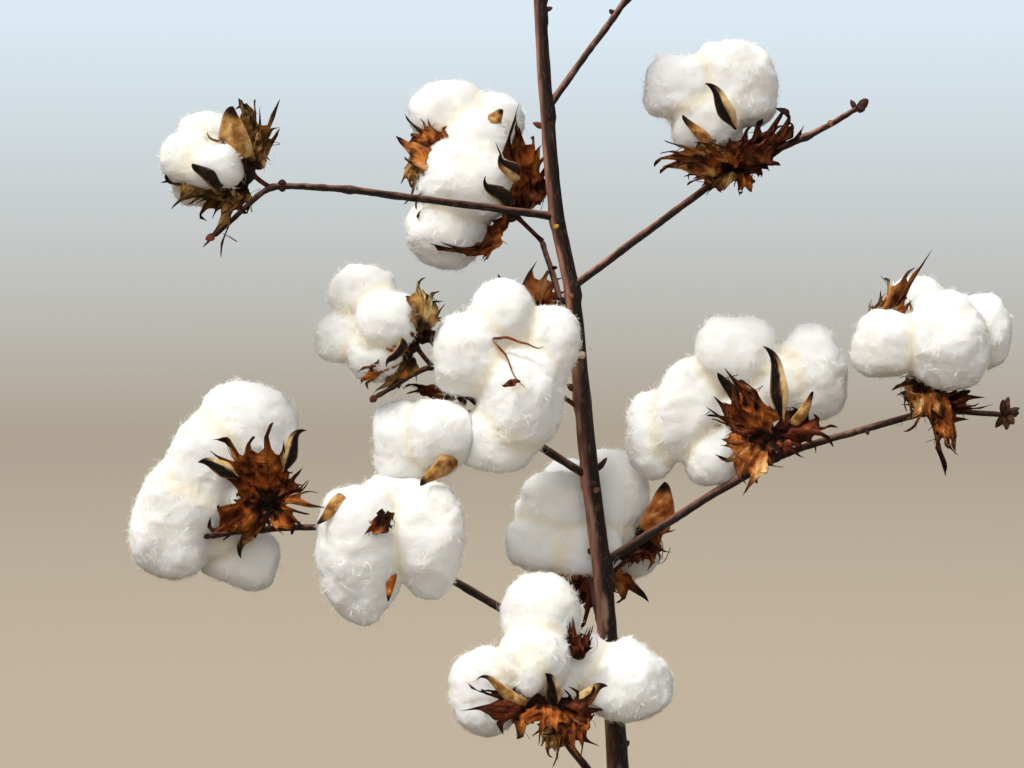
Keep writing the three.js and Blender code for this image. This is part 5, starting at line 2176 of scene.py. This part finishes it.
@dataclass
class Studio:
    """The camera at the photograph's angle, the light, the floor and the far wall."""

    camera_at: tuple = (-0.074, -1.650, 0.6255)
    pitch: float = 3.9
    lens: float = 100.0
    sensor: float = 36.0
    clip: float = 50.0
    radii: tuple = (0.02, 0.5, 1, 2, 3, 4, 5, 6)
    wall_height: float = 7.0
    wall_rows: int = 20
    sides: int = 96
    sky_below: tuple = (0.32, 0.26, 0.18, 1.0)
    sky_above: tuple = (0.58, 0.61, 0.66, 1.0)
    sky_strength: float = 0.66
    floor_tint: str = "a89c8b"
    haze: str = "afa493"
    plain: str = "ffffff"
    wall_tint: str = "dcebf5"

    def build(self) -> None:
        """Makes the whole studio."""
        scene = bpy.context.scene
        data = bpy.data.cameras.new("camera")
        data.lens, data.sensor_width, data.clip_end = self.lens, self.sensor, self.clip
        camera = place(bpy.data.objects.new("camera", data))
        camera.location = self.camera_at
        camera.rotation_euler = (math.radians(90 - self.pitch), 0, 0)
        scene.camera = camera
        for lamp in LAMPS:
            lamp.build()
        world = bpy.data.worlds.new("world")
        world.use_nodes = True
        self.sky(world)
        scene.world = world
        scene.view_settings.view_transform = "Standard"
        scene.view_settings.look = "None"
        self.stage()

    def sky(self, world: bpy.types.World) -> None:
        """Fills a world with pale blue light from above and dim warm light from below.

        Args:
            world: the world.
        """
        sheet = NodeSheet(world.node_tree)
        share = sheet.range(sheet.height("Generated"), -0.3, 0.5, 0, 1)
        sheet.fill(sheet.tree.nodes["Background"], {
            "Color": sheet.mixed(self.sky_below, self.sky_above, share), "Strength": self.sky_strength,
        })

    def stage(self) -> None:
        """Makes the pale floor and the wall that meets it without a seam."""
        ring = hoop(RIGHT, AWAY, turns(self.sides))
        radii = np.array(self.radii)
        heights = np.linspace(0, self.wall_height, self.wall_rows)
        floor, wall = Shape(), Shape()
        rows = (ring[None] * radii[:, None, None])[::-1]
        floor.grid(rows, colour(self.plain), rows[..., :2], around=True)
        rows = ring[None] * radii[-1] + UP * heights[:, None, None]
        wall.grid(rows[:, ::-1], colour(self.plain), rows[..., :2], around=True)
        near = floor.build("floor", self.floor_finish())
        far = wall.build("far_wall", self.wall_finish())
        far.visible_shadow = far.visible_diffuse = far.visible_glossy = False
        near.visible_diffuse = False

    def floor_finish(self) -> Material:
        """A pale floor that fades to the wall's foot.

        Returns:
            Its material.
        """
        sheet = ShaderSheet("floor")
        sheet.set(Base_Color=self.floor_tint, Roughness=1.0, Specular_IOR_Level=0.0)
        glow = sheet.node("ShaderNodeEmission", {"Color": self.haze}).outputs[0]
        away = sheet.node("ShaderNodeVectorMath", {0: sheet.coordinate("Object")}, operation="LENGTH")
        share = sheet.range(away.outputs["Value"], 2.0, 5.0, 0, 1)
        mix = sheet.node("ShaderNodeMixShader", {0: share, 1: sheet.shader.outputs[0], 2: glow})
        sheet.show(mix.outputs[0])
        return sheet.material

    def wall_finish(self) -> Material:
        """A wall that turns from the floor's colour to pale blue.

        Returns:
            Its material.
        """
        sheet = ShaderSheet("far_wall")
        share = sheet.range(sheet.height("Object"), 0.0, 1.1, 0, 1)
        tint = sheet.mixed(self.haze, self.wall_tint, share)
        sheet.show(sheet.node("ShaderNodeEmission", {"Color": tint}).outputs[0])
        return sheet.material


def round_ball(levels: int) -> tuple:
    """An even ball of radius 1.

    Args:
        levels: how often its faces are split.

    Returns:
        Its points and its faces.
    """
    mesh = bmesh.new()
    bmesh.ops.create_icosphere(mesh, subdivisions=levels, radius=1.0)
    points = np.array([v.co[:] for v in mesh.verts])
    faces = np.array([[v.index for v in f.verts] for f in mesh.faces])
    mesh.free()
    return points, faces


def main() -> None:
    """Builds the plant in order and reports each piece."""
    logging.basicConfig(level=logging.INFO, format="%(name)s: %(message)s")
    Studio().build()
    bark = BarkFinish().make()
    walls = HuskFinish("husk_wall", glow=0.25).make()
    leaves = HuskFinish("husk_bract").make()
    cotton, fibre = LockFinish().make(), LintFinish().make()
    dry = LintFinish("husk_thread", "2c150a").make()
    tints = Bark()
    stem = Stem(tints)
    stem.build([(limb.height, limb.joints[0][1]) for limb in LIMBS], bark)
    for number, limb in enumerate(LIMBS):
        limb.build(stem, tints, 30 + 7 * number, bark)
    limbs = {limb.name: limb for limb in LIMBS}
    ball = round_ball(4)
    threads, nap = THREADS.make(), NapTree().make()
    lint = [tree.make() for tree in LINT]
    for number, plan in enumerate(PLANS):
        boll = Boll(plan, number, Frame.of(plan, stem, limbs))
        boll.husk(walls, leaves, threads, dry)
        boll.locks(ball, nap, lint, cotton, fibre)


if __name__ == "__main__":
    main()
